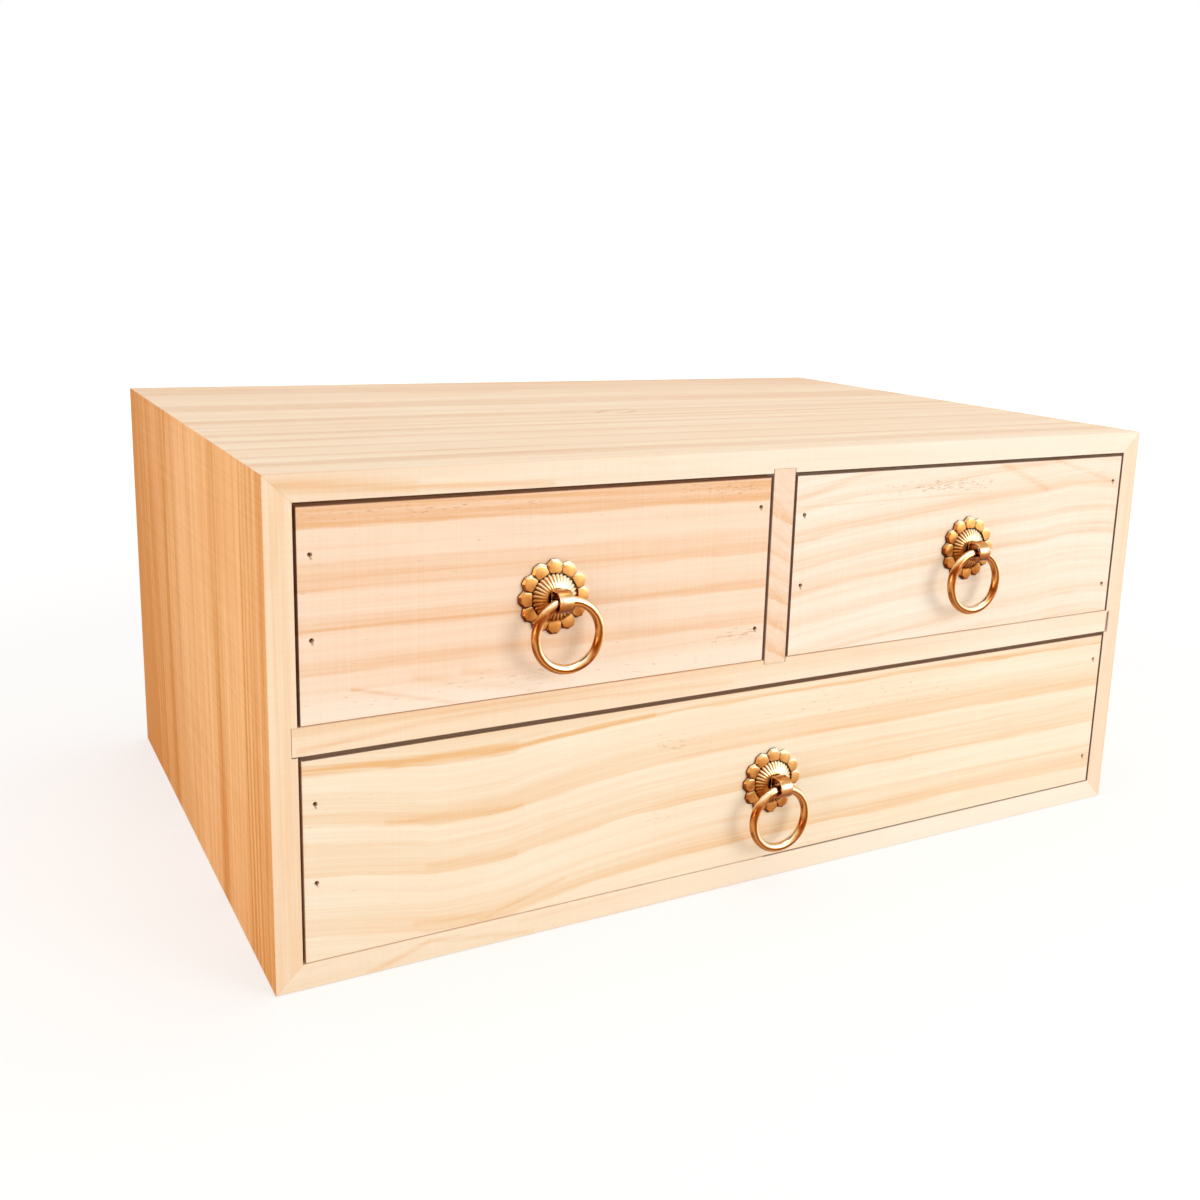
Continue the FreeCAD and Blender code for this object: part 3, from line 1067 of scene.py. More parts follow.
# ---------------------------------------------------------------- boards
@dataclass
class Board:
    """One board of the chest, with softened arrises.

    Attributes:
        finish: its pine, which has the name of the part that the board stands for.
        body: the body that it rides on.
        slot: the record's material slot.
        arris: rounding of its long edges.
        hairline: rounding where it meets a neighbour in a mitre or a housing.
        sawn: edges shorter than this are saw cuts and stay crisp.
        nail_hole: edges shorter than this belong to nail holes and stay sharp.
        flat: faces that meet at a smaller angle than this, in degrees, are one surface.
        leaning: a face whose normal lies this much to one side is a mitre's.
    """

    finish: Pine
    body: str
    slot: str
    arris: float = 0.35
    hairline: float = 0.06
    sawn: float = 12.0
    nail_hole: float = 4.0
    flat: float = 30.0
    leaning: Spot = (0.3, 0.9)

    def build(self, nodes: dict[str, Piece]) -> Piece:
        """Copies the part, cleans its faces and rounds its long edges.

        Args:
            nodes: the parts by name.

        Returns:
            The dressed board.
        """
        node = self.finish.name
        board = merged(nodes[node], "pine_" + node)
        self._weigh_edges(board)
        bevelled(board, self.arris, limit_method="WEIGHT", use_clamp_overlap=False)
        return dressed(board, self.body, self.slot, self.finish.paint(), node)

    def _weigh_edges(self, board: Piece) -> None:
        """Marks how much each edge is rounded.

        Args:
            board: the cleaned copy.
        """
        shell = bmesh.new()
        shell.from_mesh(board.data)
        weight = shell.edges.layers.float.new("bevel_weight_edge")
        for edge in shell.edges:
            length = edge.calc_length() / MM
            if len(edge.link_faces) != 2 or length < self.nail_hole:
                continue
            if edge.calc_face_angle() < math.radians(self.flat):
                continue
            least, most = self.leaning
            mitred = any(least < abs(face.normal.x) < most for face in edge.link_faces)
            edge[weight] = self.hairline / self.arris if mitred or length < self.sawn else 1.0
        shell.to_mesh(board.data)
        shell.free()


# ---------------------------------------------------------------- ring pull
# The tones of these four finishes are painted light: highlights and reflections where a surface
# faces upwards and to the right, painted shade and dark reflections where it faces its shaded
# side.
STAMPED = Brass(
    ((-0.75, Tint(255, 250, 226)), (-0.45, Tint(252, 232, 188)), (-0.18, Tint(224, 170, 102)),
     (0.05, Tint(205, 138, 70)), (0.3, Tint(178, 102, 44)), (0.55, Tint(132, 64, 20)),
     (0.85, Tint(84, 34, 10))),
    shade_facing=(-0.5, 0, -0.85), polish=0.36, cloud=0.1, drift=0.12)
DOMED = Brass(
    ((-0.6, Tint(246, 226, 184)), (-0.35, Tint(253, 240, 208)), (-0.05, Tint(240, 196, 132)),
     (0.12, Tint(212, 142, 72)), (0.35, Tint(162, 86, 30)), (0.6, Tint(112, 52, 16))),
    shade_facing=(-0.8, 0, -0.6), polish=0.28, cloud=0.05, drift=0.1)
BENT = Brass(
    ((-1.0, Tint(200, 144, 84)), (-0.66, Tint(218, 164, 100)), (-0.52, Tint(248, 232, 198)),
     (-0.3, Tint(250, 238, 208)), (-0.12, Tint(222, 168, 108)), (0.15, Tint(188, 116, 60)),
     (0.5, Tint(144, 74, 32)), (0.95, Tint(92, 40, 12))),
    shade_facing=(0, 0, -1), polish=0.22, cloud=0.06)
DRAWN = Brass(
    ((-1.0, Tint(214, 152, 90)), (-0.7, Tint(242, 201, 141)), (-0.35, Tint(255, 249, 226)),
     (0.02, Tint(255, 241, 204)), (0.18, Tint(234, 170, 100)), (0.32, Tint(162, 80, 27)),
     (0.42, Tint(120, 52, 13)), (0.53, Tint(172, 95, 38)), (0.68, Tint(218, 150, 83)),
     (0.84, Tint(142, 71, 24)), (1.0, Tint(198, 132, 70))),
    shade_facing=(-0.62, -0.3, -0.72), polish=0.12, cloud=0.04)
SHADY_SIDE = (-0.9, 0.0, 0.45)
ORIGIN = (0, 0, 0)


def drawn_up(profile: Stops, centre: Triple) -> None:
    """Extrudes the selected top face through sections.

    Args:
        profile: pairs of a height and a radius; the selected face is the first of them.
        centre: the point that the sections shrink towards.
    """
    for (height, radius), (next_height, next_radius) in zip(profile, profile[1:]):
        rise = (0, 0, (next_height - height) * MM)
        bpy.ops.mesh.extrude_region_move(TRANSFORM_OT_translate={"value": rise})
        share = next_radius / radius
        bpy.ops.transform.resize(value=(share, share, 1), center_override=centre)


def trimmed(outward: Vector, reach: float) -> None:
    """Cuts off what lies beyond a plane, and closes the cut.

    Args:
        outward: direction that the cut faces.
        reach: how far the plane lies from the origin along that direction, in millimetres.
    """
    bpy.ops.mesh.select_all(action="SELECT")
    bpy.ops.mesh.bisect(plane_co=tuple(outward * reach * MM), plane_no=tuple(outward),
                        use_fill=True, clear_outer=True)


def disc(name: str, sides: int, radius: float, low: float, high: float, right: float = 0.0,
         turn: float = 0.0) -> Piece:
    """Adds an upright disc.

    Args:
        name: name of the piece.
        sides: sides of the disc.
        radius: to its corners.
        low: height of its underside.
        high: height of its top.
        right: how far its centre stands to the right.
        turn: how far its corners are turned, in radians.

    Returns:
        The disc, active.
    """
    bpy.ops.mesh.primitive_cylinder_add(
        vertices=sides, radius=radius * MM, depth=(high - low) * MM,
        location=(right * MM, 0, (low + high) / 2 * MM), rotation=(0, 0, turn))
    return added(name)


@dataclass
class RingPull:
    """A brass ring pull: petalled plate, fluted boss, strap bent into an eye, loose ring.

    Attributes:
        petal_count: petals round the plate.
        petal_sides: sides of a petal.
        petal_circle: from the centre of the plate to the centre of a petal.
        petal_profile: heights and radii of a petal, from its upright edge to its crown.
        petal_edge: rounding of a petal's rim.
        petal_gap: groove between two petals.
        seat: from the centre of the plate to the petals' inner ends.
        plate_radius: of the plate under the petals.
        plate: thickness of the plate.
        plate_sides: sides of the round plate.
        boss_profile: heights and radii of the boss, from its rim over its top into its opening.
        flutes: number of flutes on the boss.
        flute_depth: of a flute, as a share of the boss's radius.
        strap_edge: rounding of the strap's edges.
        eye_out: from the drawer front to the middle of the eye.
        ring_radius: to the middle of the wire.
        ring_sides: sides that the ring's round is made of.
        wire: radius of the wire.
        wire_sides: sides that the wire's round is made of.
        joint: half the width of the joint in the wire.
        joint_wire: thickness of the wire in the joint, as a share of its own.
    """

    petal_count: int = 12
    petal_sides: int = 8
    petal_circle: float = 10.666
    petal_profile: Stops = ((0.8, 3.5), (1.8, 2.6))
    petal_edge: float = 0.14
    petal_gap: float = 0.2
    seat: float = 9.1
    plate_radius: float = 11.9
    plate: float = 0.5
    plate_sides: int = 72
    boss_profile: Stops = ((1.35, 8.9), (1.5, 8.78), (1.98, 8.03), (2.39, 7.28), (2.75, 6.51),
                           (3.04, 5.73), (3.26, 4.94), (3.43, 4.14), (3.5, 3.6), (3.42, 3.3),
                           (1.4, 3.2))
    flutes: int = 32
    flute_depth: float = 0.076
    strap_edge: float = 0.16
    eye_out: float = 7.8
    ring_radius: float = 12.6
    ring_sides: int = 96
    wire: float = 1.8
    wire_sides: int = 28
    joint: float = 0.12
    joint_wire: float = 0.93

    def _rosette(self) -> Piece:
        """Models one petal, repeats it round the circle and joins the plate to it.

        Returns:
            The petalled plate, lying at the origin.
        """
        wall, radius = self.petal_profile[0]
        petals = disc("petals", self.petal_sides, radius, 0.0, wall, self.petal_circle,
                      math.pi / self.petal_sides)
        with editing():
            pick_top(petals)
            drawn_up(self.petal_profile, (self.petal_circle * MM, 0, 0))
            pick(petals, "edges", lambda edge: edge.calc_face_angle(0) > math.radians(40) and
                 max(vert.co.z for vert in edge.verts) > wall / 2 * MM)
            bpy.ops.mesh.bevel(offset=self.petal_edge * MM, segments=2, affect="EDGES")
            half = math.pi / self.petal_count
            for side in (-1, 1):
                trimmed(Vector((-math.sin(half), side * math.cos(half), 0)),
                        -self.petal_gap / 2)
            trimmed(Vector((-1, 0, 0)), -self.seat)
        petals.data.validate()  # where a cut grazes a corner it leaves the same face twice
        with editing():
            others = self.petal_count - 1
            bpy.ops.mesh.spin(steps=others, dupli=True, center=ORIGIN, axis=(0, 0, 1),
                              angle=2 * math.pi * others / self.petal_count)
            bpy.ops.mesh.select_all(action="SELECT")
            bpy.ops.mesh.normals_make_consistent(inside=False)

        plate = disc("plate", self.plate_sides, self.plate_radius, 0.0, self.plate)
        with editing():
            pick_top(plate)
            bpy.ops.mesh.bevel(offset=self.plate / 4 * MM, segments=2, affect="EDGES")
        return smoothed(joined((petals, plate), "rosette"), 25)

    def _boss(self) -> Piece:
        """Draws a round foot up into a low dome and presses the flutes into it.

        Returns:
            The boss, lying at the origin.
        """
        rim, radius = self.boss_profile[0]
        per_flute = 4
        sides = per_flute * self.flutes
        boss = disc("boss", sides, radius, self.plate, rim)
        with editing():
            pick_top(boss)
            drawn_up(self.boss_profile, ORIGIN)
            for number, share in ((0, 1.0), (1, 0.2), (3, 0.2)):
                pick(boss, "verts", lambda vert, line=number: round(math.atan2(
                    vert.co.y, vert.co.x) * sides / (2 * math.pi)) % per_flute == line)
                kept = 1 - share * self.flute_depth
                bpy.ops.transform.resize(value=(kept, kept, 1), center_override=ORIGIN)
        return smoothed(boss, 45)

    def _ring(self) -> Piece:
        """Bends the wire into a ring and closes it with a joint at the top.

        Returns:
            The ring, hanging square to the front, round the origin.
        """
        bpy.ops.mesh.primitive_torus_add(
            major_segments=self.ring_sides, minor_segments=self.wire_sides,
            major_radius=self.ring_radius * MM, minor_radius=self.wire * MM,
            rotation=(math.pi / 2, 0, 0))
        ring = added("ring")
        with editing():
            for side in (-1, 1):
                bpy.ops.mesh.select_all(action="SELECT")
                bpy.ops.mesh.bisect(plane_co=(side * self.joint * MM, 0, 0), plane_no=(1, 0, 0))
            pick(ring, "verts", lambda vert: abs(vert.co.x) < self.joint / 4 * MM and
                 vert.co.z > 0)
            bpy.ops.transform.resize(value=(1, self.joint_wire, self.joint_wire),
                                     center_override=(0, 0, self.ring_radius * MM))
        return smoothed(ring, 35)

    def _strap(self, node: Piece) -> Piece:
        """Copies the bent strap and softens its edges.

        Args:
            node: the part that it stands for.

        Returns:
            The strap, in its place.
        """
        strap = merged(node, "strap")
        bevelled(strap, self.strap_edge, limit_method="ANGLE", angle_limit=math.radians(50))
        return smoothed(strap, 35)

    def build(self, drawers: Sequence[str], nodes: dict[str, Piece]) -> None:
        """Models the pull once and puts a dressed copy of it on every drawer.

        Args:
            drawers: names of the drawers.
            nodes: the parts by name.
        """
        rosette, boss, ring = self._rosette(), self._boss(), self._ring()
        for drawer in drawers:
            low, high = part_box(f"{drawer}_pull_rosette")
            face = Vector(((low.x + high.x) / 2, high.y, (low.z + high.z) / 2))
            right, front, up = face / MM
            upright = Matrix.Translation(face) @ Matrix.Rotation(math.pi / 2, 4, "X")
            hung = Matrix.Translation(sum(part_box(f"{drawer}_pull_ring"), Vector()) / 2)
            strap = self._strap(nodes[f"{drawer}_pull_strap"])
            behind = (None, front, None)
            # Painted shade: in the grooves and at the boss's foot on the shaded side, in the
            # boss's opening, inside the eye and round the strap's root near the front.
            grooves = Hollow(behind, dark=0.4, clear=0.95, side=SHADY_SIDE)
            foot = Hollow(behind, dark=1.1, clear=1.5, side=SHADY_SIDE)
            opening = Hollow((right, None, up), dark=3.5, clear=3.9)
            eye = Hollow((None, front - self.eye_out, up), dark=3.2, clear=3.5)
            root = Hollow(behind, dark=3.6, clear=5.0)
            own = drawer + "_drawer"
            for part, model, place, body, look, hollows in (
                    ("rosette", rosette, upright, own, STAMPED, (grooves,)),
                    ("boss", boss, upright, own, DOMED, (foot, opening)),
                    ("strap", strap, Matrix(), own, BENT, (eye, root)),
                    ("ring", ring, hung, drawer + "_ring", DRAWN, ())):
                piece = copy_of(model, f"brass_{part}_{drawer}")
                piece.data.transform(place)
                brass = replace(look, name=f"{drawer}_{part}", middle=(right, up),
                                hollows=hollows)
                dressed(piece, body, "brass", brass.paint(), f"{drawer}_pull_{part}")
            bpy.data.objects.remove(strap)
        for model in (rosette, boss, ring):
            bpy.data.objects.remove(model)


# ---------------------------------------------------------------- the studio
PICTURE = 1200  # width and height of the picture, in pixels
FOCAL_LENGTH = 1293.4  # of the lens, in pixels of the picture
AXIS = (656.2, 541.5)  # where the lens looks straight ahead, from the picture's top left corner
SENSOR = 36.0
WHITE = (1, 1, 1, 1)


@dataclass
class Lamp:
    """A soft rectangular studio lamp.

    Attributes:
        name: what it is for.
        place: where it stands, in metres.
        width: of its face, in metres.
        height: of its face, in metres.
        power: in watts.
        tint: its colour.
    """

    name: str
    place: Triple
    width: float
    height: float
    power: float
    tint: Tint = Tint(255, 253, 251)

    def build(self, target: Vector) -> None:
        """Makes the lamp and turns it to the chest.

        Args:
            target: the point that it shines at.
        """
        light = bpy.data.lights.new(self.name, "AREA")
        light.shape = "RECTANGLE"
        light.size, light.size_y = self.width, self.height
        light.energy = self.power
        light.color = self.tint.linear()[:3]
        holder = bpy.data.objects.new(self.name, light)
        holder.location = self.place
        holder.rotation_euler = (target - holder.location).to_track_quat("-Z", "Y").to_euler()
        bpy.context.scene.collection.objects.link(holder)


@dataclass
class Studio:
    """Plain pale floor, white surroundings, soft lamps and the camera.

    Attributes:
        eye: where the camera stands, in millimetres.
        heading: how far it looks to the right of straight ahead, in degrees.
        tilt: how far it looks up, in degrees.
        roll: how far it leans, in degrees.
        lens: focal length on the sensor's width.
        shift: sideways and upward shift of the picture, as a share of its width.
        ambient: strength of the light that comes from all round.
        sky: colour of that light.
        paper: how much of the light the floor gives back.
        grey: how much of it the camera sees on the floor, on top of the floor's own glow.
        glow: two distances from the chest, in metres, and the strength of the glow at each.
        floor_size: side of the floor, in metres.
        floor_drop: how far it lies below the chest, in metres.
        target: middle of the chest, in metres.
        lamps: the lamps.
    """

    eye: Triple = (-292.2, -539.0, 249.4)
    heading: float = 30.161
    tilt: float = -12.245
    roll: float = 2.061
    lens: float = FOCAL_LENGTH / PICTURE * SENSOR
    shift: Spot = (0.5 - AXIS[0] / PICTURE, AXIS[1] / PICTURE - 0.5)
    ambient: float = 0.62
    sky: tuple[float, ...] = (1, 0.965, 0.925, 1)
    paper: tuple[float, ...] = (0.84, 0.83, 0.82, 1)
    grey: tuple[float, ...] = (0.42, 0.42, 0.42, 1)
    glow: tuple[float, ...] = (0.4, 1.6, 0.62, 1.0)
    floor_size: float = 12.0
    floor_drop: float = 0.0002
    target: Triple = (0, 0, 0.09)
    lamps: tuple[Lamp, ...] = (
        Lamp("key_lamp", (0.75, -1.25, 0.45), width=0.75, height=0.75, power=6.6),
        Lamp("top_lamp", (0.1, 0.1, 1.5), width=1.2, height=1.0, power=5.6),
        Lamp("left_lamp", (-1.4, -0.5, 0.30), width=0.7, height=0.5, power=4.8),
    )

    def build(self) -> None:
        """Builds the floor, the surroundings, the lamps and the camera."""
        bpy.context.scene.view_settings.view_transform = "Standard"
        self._surroundings()
        self._floor()
        for lamp in self.lamps:
            lamp.build(Vector(self.target))
        self._camera()

    @staticmethod
    def _close(graph: Graph, output: str, light: Value, sight: Value) -> None:
        """Closes a graph with one shader for the light it gives and one for the sight of it.

        Args:
            graph: the graph of the floor or of the surroundings.
            output: the kind of its output node.
            light: what lights the chest.
            sight: what the camera sees, directly or through a gloss.
        """
        camera, glossy, through = (
            graph.step("LightPath", output=f"Is {ray} Ray")
            for ray in ("Camera", "Glossy", "Transmission"))
        seen = camera.at_least(glossy).at_least(through)
        graph.node(output, graph.step("MixShader", seen, light, sight))

    def _surroundings(self) -> None:
        """White to look at, and softer as a source of light."""
        world = bpy.data.worlds.new("studio")
        bpy.context.scene.world = world
        graph = Graph(world)
        soft = graph.step("Background", self.sky, self.ambient)
        white = graph.step("Background", WHITE, 1.0)
        self._close(graph, "OutputWorld", soft, white)

    def _floor(self) -> None:
        """A pale floor that keeps the shadow of the chest."""
        bpy.ops.mesh.primitive_plane_add(size=self.floor_size, location=(0, 0, -self.floor_drop))
        floor = added("studio_floor")
        graph = Graph(bpy.data.materials.new("pale_floor"))
        paper = graph.step("BsdfDiffuse", self.paper)
        dim = graph.step("BsdfDiffuse", self.grey)
        spread = graph.vector("LENGTH", graph.step("TexCoord", output="Object"))
        glow = graph.step("Emission", WHITE, spread.scaled(*self.glow))
        self._close(graph, "OutputMaterial", paper, graph.step("AddShader", dim, glow))
        floor.data.materials.append(graph.owner)

    def _camera(self) -> None:
        """The camera, turned by its heading, its tilt and its roll."""
        data = bpy.data.cameras.new("camera")
        data.sensor_width = SENSOR
        data.lens = self.lens
        data.shift_x, data.shift_y = self.shift
        data.clip_start, data.clip_end = 0.01, 50.0
        camera = bpy.data.objects.new("camera", data)
        turn = (Matrix.Rotation(-math.radians(self.heading), 4, "Z") @
                Matrix.Rotation(math.pi / 2 + math.radians(self.tilt), 4, "X") @
                Matrix.Rotation(math.radians(self.roll), 4, "Z"))
        camera.matrix_world = Matrix.Translation(Vector(self.eye) * MM) @ turn
        bpy.context.scene.collection.objects.link(camera)
        bpy.context.scene.camera = camera


# ---------------------------------------------------------------- the finishes of the boards
TOP_BOARD = Pine(
    "top_board", Lay.LID, pale=Tint(255, 235, 208), tan=Tint(232, 188, 148), seed=1,
    edge_pale=Tint(254, 238, 216), edge_tan=Tint(244, 204, 160),
    rings=((-134, 0.1), (-121, 0.15), (-118, 0.55), (-112, 0.5), (-109, 0.1), (-102.4, 0.15),
           (-100, 0.6), (-97.5, 0.15), (-83, 0.2), (-80, 0.5), (-77, 0.15),
           (-65, 0.2), (-62, 0.55), (-58, 0.2), (-48, 0.15), (-44, 0.55), (-39, 0.15),
           (-34, 0.2), (-31, 0.5), (-27, 0.1), (-22, 0.5), (-17, 0.1), (-9, 0.5), (-2, 0.5),
           (3, 0.1), (12, 0.3), (26, 0.1), (33, 0.55), (48, 0.5), (60, 0.15), (112, 0.65),
           (134, 0.5)),
    slope=0.8, face=CASE_TOP, wander=2.2, fray=1.0, swells=(Patch(-5, -4, 14, 6, -3.0),),
    dark_patches=(Patch(-185, -137, 55, 5, 0.4),), pales=(Patch(130, -137, 130, 6, 0.7),),
    dirt_and_shade=((0, -1, -1),),
    streaks=(Streak((-19, -10), (-11, -3), 2.2, 0.7), Streak((-11, -3), (-3, -1), 1.8, 0.6),
             Streak((-3, -1), (4, 1), 1.6, 0.5), Streak((-10, -15), (-3, -12), 1.6, 0.5),
             Streak((-3, -12), (3, -6), 2.2, 0.7)),
    edge_streaks=(Streak((-197, 176), (-150, 173.6), 3.4, 0.75),
                  Streak((-150, 173.6), (-100, 172), 1.8, 0.65),
                  Streak((-60, 176.5), (40, 175), 1.2, 0.2)),
)
# The left side's face is a darker, more orange copy of the pine of its planed edges: painted shade
# for the side turned from the key lamp.
LEFT_SIDE = Pine(
    "left_side", Lay.SIDE, pale=Tint(253, 195, 133), tan=Tint(217, 142, 60), seed=2,
    gloss=0.08, fibre=0.34, fine=(2.6, 0.24),
    rings=((-134, 0.6), (-127, 0.75), (-121, 0.2), (-117, 0.85), (-115, 0.1), (-112, 0.9),
           (-110, 0.1), (-107, 0.85), (-105, 0.1), (-102, 0.7), (-99, 0.15), (-80, 0.15),
           (-66, 0.3), (-58, 0.6), (-53, 0.45), (-47, 0.2), (-30, 0.12), (0, 0.15),
           (12, 0.1), (20, 0.35), (33, 0.3), (42, 0.3), (47, 0.6), (53, 0.3), (64, 0.25),
           (80, 0.45), (87, 0.25), (100, 0.35), (112, 0.55), (134, 0.8)),
    slope=0.9, face=LEFT_FACE, wander=2.0, saw=0.08,
    bend=((0, 5.0), (70, 0.5), (180, -5.0)), bend_fade=(-60.0, 40.0, 0.0, 1.0),
    streaks=(Streak((0, 48), (95, 51), 7.0, 0.4), Streak((95, 51), (180, 41), 5.0, 0.35),
             Streak((0, -56), (118, -57), 5.0, 0.3), Streak((0, 92), (100, 104), 9.0, 0.25)),
    fleck_patches=(Patch(52, -12, 9, 22, 1.0),),
    edge_pale=Tint(255, 240, 214), edge_tan=Tint(250, 218, 182),
    # Painted shade: darker towards the back and towards the floor.
    dark_patches=(Patch(60, 165, 260, 110, 0.8), Patch(0, -60, 70, 160, 0.16)),
    dirt_and_shade=((1, -1, 0),), darkened_within=191.2,
    edge_streaks=(Streak((145, -198), (180, -193.5), 3.0, 0.5),
                  Streak((10, -196), (170, -197.5), 0.6, 0.25),
                  Streak((5, -192.5), (120, -193.5), 0.7, 0.2)),
)
RIGHT_SIDE = Pine(
    "right_side", Lay.SIDE, rings=grown_rings(-134, 134, 22, 31), seed=6, wander=3.0,
    edge_pale=Tint(252, 236, 212), edge_tan=Tint(242, 208, 172), dirt_and_shade=((-1, -1, 0),),
)
BOTTOM_BOARD = Pine(
    "bottom_board", Lay.LID, rings=grown_rings(-134, 134, 24, 32), seed=7, wander=3.0,
    edge_pale=Tint(254, 237, 212), edge_tan=Tint(244, 204, 158),
    pales=(Patch(140, -137, 170, 8, 0.95),),
    edge_streaks=(Streak((-168, 0), (-145, 7.2), 1.7, 0.6),
                  Streak((-145, 7.2), (-105, 1), 1.7, 0.5),
                  Streak((-110, 6.5), (-40, 8), 1.0, 0.35),
                  Streak((150, 2), (185, 2.6), 1.4, 0.3)),
    # Painted shade in the gap under the lower drawer's front.
    gaps=(Streak((0, 9.6), (190, 9.6), 0.55, 0.8),),
)
SHELF = Pine(
    "shelf", Lay.LID, rings=grown_rings(-134, 134, 26, 33), seed=8,
    edge_pale=Tint(254, 234, 206), edge_tan=Tint(242, 196, 146),
    pales=(Patch(140, -137, 150, 8, 0.55),), dirt_and_shade=((0, -1, -1),),
    edge_streaks=(Streak((-190, 87), (-150, 90.2), 1.6, 0.55),
                  Streak((-150, 90.2), (-100, 91.2), 1.5, 0.5),
                  Streak((-100, 91.2), (-20, 88), 1.1, 0.4),
                  Streak((40, 92.5), (150, 91), 0.8, 0.2)),
    # Painted shade in the housings at the shelf's ends.
    gaps=(Streak((191.7, 85.8), (191.8, 94.0), 1.1, 1.0),
          Streak((-193, 84.8), (-189.5, 84.9), 0.45, 1.0)),
)
PARTITION = Pine(
    "partition", Lay.WALL, rings=grown_rings(92, 174, 9, 34), seed=9,
    pale=Tint(253, 235, 216), edge_pale=Tint(252, 232, 217), edge_tan=Tint(240, 196, 160),
    dirt_and_shade=((1, -1, 0), (-1, -1, 0)),
)

LEFT_ARRIS, RIGHT_ARRIS, TOP_ARRIS = (1.0, -1.0, 0.0), (-1.0, -1.0, 0.0), (0.0, -1.0, 1.0)


def front_nails(left: float, right: float, low: float) -> tuple[Spot, ...]:
    """Places of the nails in a drawer front: left end upper and lower, right end likewise.

    Args:
        left: left end of the front.
        right: right end of the front.
        low: lower edge of the front.

    Returns:
        Their places, to the right and upwards.
    """
    inset, height = 4.25, 69.75
    top = low + height
    return ((left + inset, top - 12), (left + inset, low + 29),
            (right - inset, top - 7.5), (right - inset, low + 13.5))


UPPER_LEFT_FRONT = Pine(
    "upper_left_front", Lay.FRONT, pale=Tint(255, 230, 206), tan=Tint(242, 192, 145), seed=3,
    gloss=0.12,
    rings=((95, 0.05), (104.6, 0.05), (105.8, 0.35), (107, 0.1), (110.9, 0.14), (111.7, 0.55),
           (114, 0.5), (116.6, 0.35), (118, 0.1), (125.4, 0.1), (126.3, 0.65), (128.5, 0.5),
           (131, 0.25), (132.6, 0.1), (139.4, 0.1), (140.3, 0.5), (142.5, 0.45), (145.5, 0.42),
           (149, 0.3), (151, 0.06), (160.4, 0.08), (161.5, 0.95), (163, 0.72), (166, 0.66),
           (168, 0.8), (170, 0.7)),
    bend=((-190, -1.0), (-100, -0.2), (-6, 0.4)), slope=0.4, face=CASE_FRONT, wander=0.7,
    saw=0.06, pales=(Patch(-98, 98, 400, 6.5, 0.5),),
    dirt_and_shade=(LEFT_ARRIS, RIGHT_ARRIS, TOP_ARRIS),
    streaks=(Streak((-172, 106), (-133, 95.5), 1.1, 0.95),
             Streak((-150, 107), (-105, 97), 2.8, 0.5), Streak((-132, 107), (-92, 99), 3.2, 0.42),
             Streak((-70, 106), (-12, 107.5), 0.6, 0.4)),
    fleck_patches=(Patch(-24, 166, 20, 3, 1.0), Patch(-20, 108, 14, 3, 0.9),
                   Patch(-110, 102, 120, 5, 0.5), Patch(-150, 166, 60, 3, 0.7)),
    nails=front_nails(-189.5, -6.25, 95.55),
)
UPPER_RIGHT_FRONT = Pine(
    "upper_right_front", Lay.FRONT, pale=Tint(255, 243, 226), tan=Tint(242, 198, 154), seed=4,
    gloss=0.12,
    rings=((80, 0.1), (81.6, 0.4), (85, 0.3), (88, 0.1), (91.8, 0.1), (93, 0.45), (96, 0.32),
           (99.5, 0.1), (105.4, 0.12), (106.8, 0.32), (109.5, 0.24), (113, 0.1), (119, 0.12),
           (120.5, 0.48), (123, 0.38), (126.5, 0.14), (129.6, 0.14), (131, 0.5), (133.5, 0.42),
           (137, 0.14), (140.8, 0.14), (142.2, 0.55), (145, 0.4), (149, 0.12), (153.4, 0.12),
           (154.6, 0.42), (156.5, 0.2), (158, 0.08), (170, 0.1)),
    bend=((5, 0.0), (40, -4.5), (80, -8.0), (115, -11.0), (140, -12.3), (160, -14.3),
          (175, -14.3), (190, -12.4)), slope=0.4, face=CASE_FRONT, wander=0.9, fray=1.1,
    dirt_and_shade=(LEFT_ARRIS, RIGHT_ARRIS, TOP_ARRIS),
    streaks=(Streak((5, 159), (46, 170), 2.4, 0.4), Streak((115, 169), (143, 156.5), 2.2, 0.35),
             Streak((148, 169), (184, 158), 1.6, 0.3), Streak((5, 156.4), (104, 156.9), 0.5, 0.4)),
    fleck_patches=(Patch(85, 161, 34, 3.5, 1.1), Patch(165, 162, 18, 5, 0.5)),
    nails=front_nails(6.25, 189.5, 95.55),
)
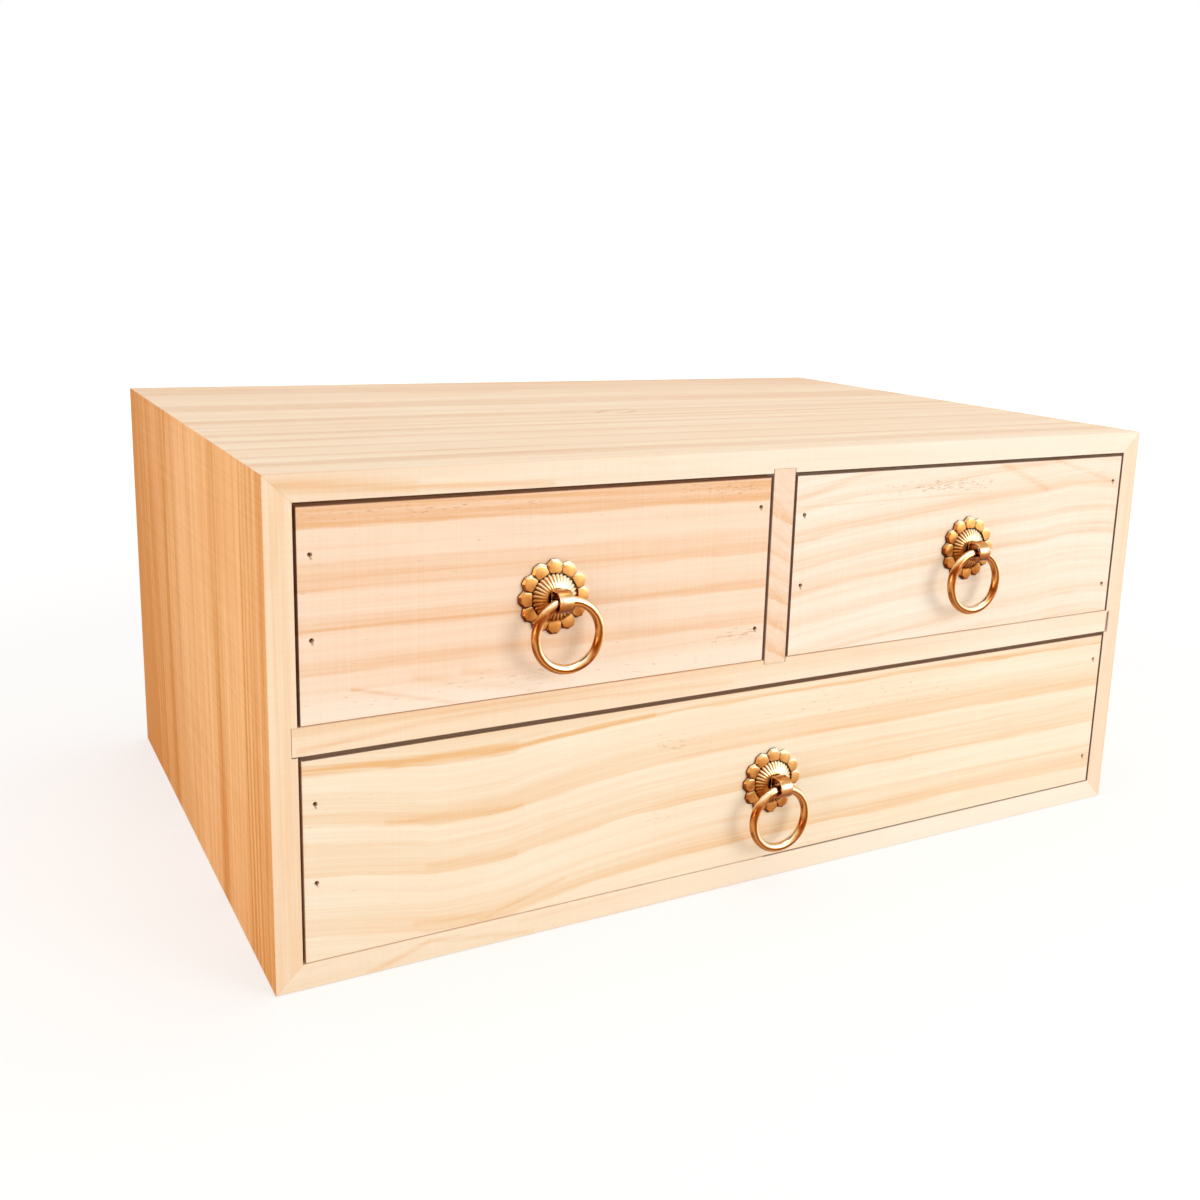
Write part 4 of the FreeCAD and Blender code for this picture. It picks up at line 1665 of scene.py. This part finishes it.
LOWER_FRONT = Pine(
    "lower_front", Lay.FRONT, pale=Tint(255, 242, 219), tan=Tint(243, 197, 142), seed=5,
    gloss=0.12,
    rings=((8, 0.15), (18.2, 0.08), (19.2, 0.5), (21.5, 0.48), (24.5, 0.34), (27.5, 0.2),
           (28.6, 0.36), (30.5, 0.12), (40.4, 0.06), (41.4, 0.5), (44, 0.44), (48, 0.32),
           (51.2, 0.22), (52, 0.38), (53.5, 0.15), (58.8, 0.08), (60, 0.5), (64, 0.46),
           (68, 0.34), (73, 0.15), (77, 0.1), (79.2, 0.12), (79.9, 0.85), (80.9, 0.5),
           (82, 0.2), (84, 0.4)),
    bend=((-190, -0.6), (-170, 2.6), (-150, 6.4), (-135, 8.4), (-120, 8.4), (-110, 7.2),
          (-100, 5.5), (-85, 3.5), (-70, 2.0), (-50, 0.7), (-30, 0.1), (0, 0.0), (190, 0.6)),
    bend_fade=(60.0, 78.0, 1.0, 0.55), fade=(-190.0, 190.0, 0.82, 1.2), slope=0.4,
    face=CASE_FRONT, wander=0.8, fray=0.9, fine=(2.6, 0.1), saw=0.025,
    pales=(Patch(190, 45, 110, 90, 0.12),),
    dirt_and_shade=(LEFT_ARRIS, TOP_ARRIS),
    streaks=(Streak((-62, 9.5), (-58, 9.8), 0.8, 0.9), Streak((-192, 79), (-150, 77.4), 2.4, 0.7),
             Streak((-150, 77.4), (-112, 76.2), 2.4, 0.8),
             Streak((-112, 76.2), (-55, 79.6), 1.5, 0.6),
             Streak((-160, 55.5), (-110, 52.6), 2.2, 0.3),
             Streak((-145, 36), (-112, 34.5), 2.2, 0.25),
             Streak((-150, 15.5), (-122, 12), 2.2, 0.3), Streak((-122, 12), (-92, 20), 1.4, 0.3)),
    fleck_patches=(Patch(-45, 66, 12, 3, 0.9), Patch(-50, 37, 6, 3, 0.8),
                   Patch(60, 72, 60, 6, 0.5)),
    nails=front_nails(-189.5, 189.5, 9.8),
)


# ---------------------------------------------------------------- the chest
@dataclass
class Case:
    """The case: four mitred boards, shelf, partition and nailed back panel.

    Attributes:
        boards: its boards and their slots.
    """

    boards: tuple[tuple[Pine, str], ...] = (
        (TOP_BOARD, "pine_case"), (LEFT_SIDE, "pine_case"), (RIGHT_SIDE, "pine_case"),
        (BOTTOM_BOARD, "pine_case"), (SHELF, "pine_divider"), (PARTITION, "pine_divider"))

    def build(self, nodes: dict[str, Piece]) -> None:
        """Builds and dresses the case.

        Args:
            nodes: the parts by name.
        """
        for pine, slot in self.boards:
            Board(pine, "case", slot).build(nodes)
        refinish(nodes["back_panel"], Plywood("back_panel", Lay.FRONT, 1).paint())
        refinish(nodes["back_panel_nails"], Steel("back_panel_nails").paint())


@dataclass
class Drawer:
    """One drawer: front, walls, back, bottom panel and nails.

    Attributes:
        name: the drawer.
        front: pine of its front.
        seed: makes its hidden boards differ from the next drawer's.
        ring_pitch: usual width of a growth ring on its hidden boards.
    """

    name: str
    front: Pine
    seed: int
    ring_pitch: float = 9

    def build(self, nodes: dict[str, Piece]) -> None:
        """Builds and dresses the drawer.

        Args:
            nodes: the parts by name.
        """
        body = self.name + "_drawer"
        Board(self.front, body, "pine_front", arris=0.3).build(nodes)
        for seed, (part, lay) in enumerate((("left_wall", Lay.WALL), ("right_wall", Lay.WALL),
                                            ("back", Lay.FRONT)), self.seed):
            node = f"{self.name}_{part}"
            low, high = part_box(node)
            rings = grown_rings(low.z / MM, high.z / MM, self.ring_pitch, seed)
            Board(Pine(node, lay, rings=rings, seed=seed), body, "pine_box").build(nodes)
        bottom = Plywood(self.name + "_bottom", Lay.LID, self.seed)
        refinish(nodes[bottom.name], bottom.paint())
        for part, heads in (("front_nails", self.front.nails), ("back_nails", ())):
            steel = Steel(f"{self.name}_{part}", heads)
            refinish(nodes[steel.name], steel.paint())


def main() -> None:
    """Loads the frame and builds the chest and its studio around it."""
    logging.basicConfig(level=logging.INFO, format="%(name)s: %(message)s")
    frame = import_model()
    nodes = frame["nodes"]
    bpy.ops.object.select_all(action="DESELECT")
    Studio().build()
    Case().build(nodes)
    drawers = (Drawer("upper_left", UPPER_LEFT_FRONT, 40),
               Drawer("upper_right", UPPER_RIGHT_FRONT, 50),
               Drawer("lower", LOWER_FRONT, 60))
    for drawer in drawers:
        drawer.build(nodes)
    RingPull().build([drawer.name for drawer in drawers], nodes)


if __name__ == "__main__":
    main()
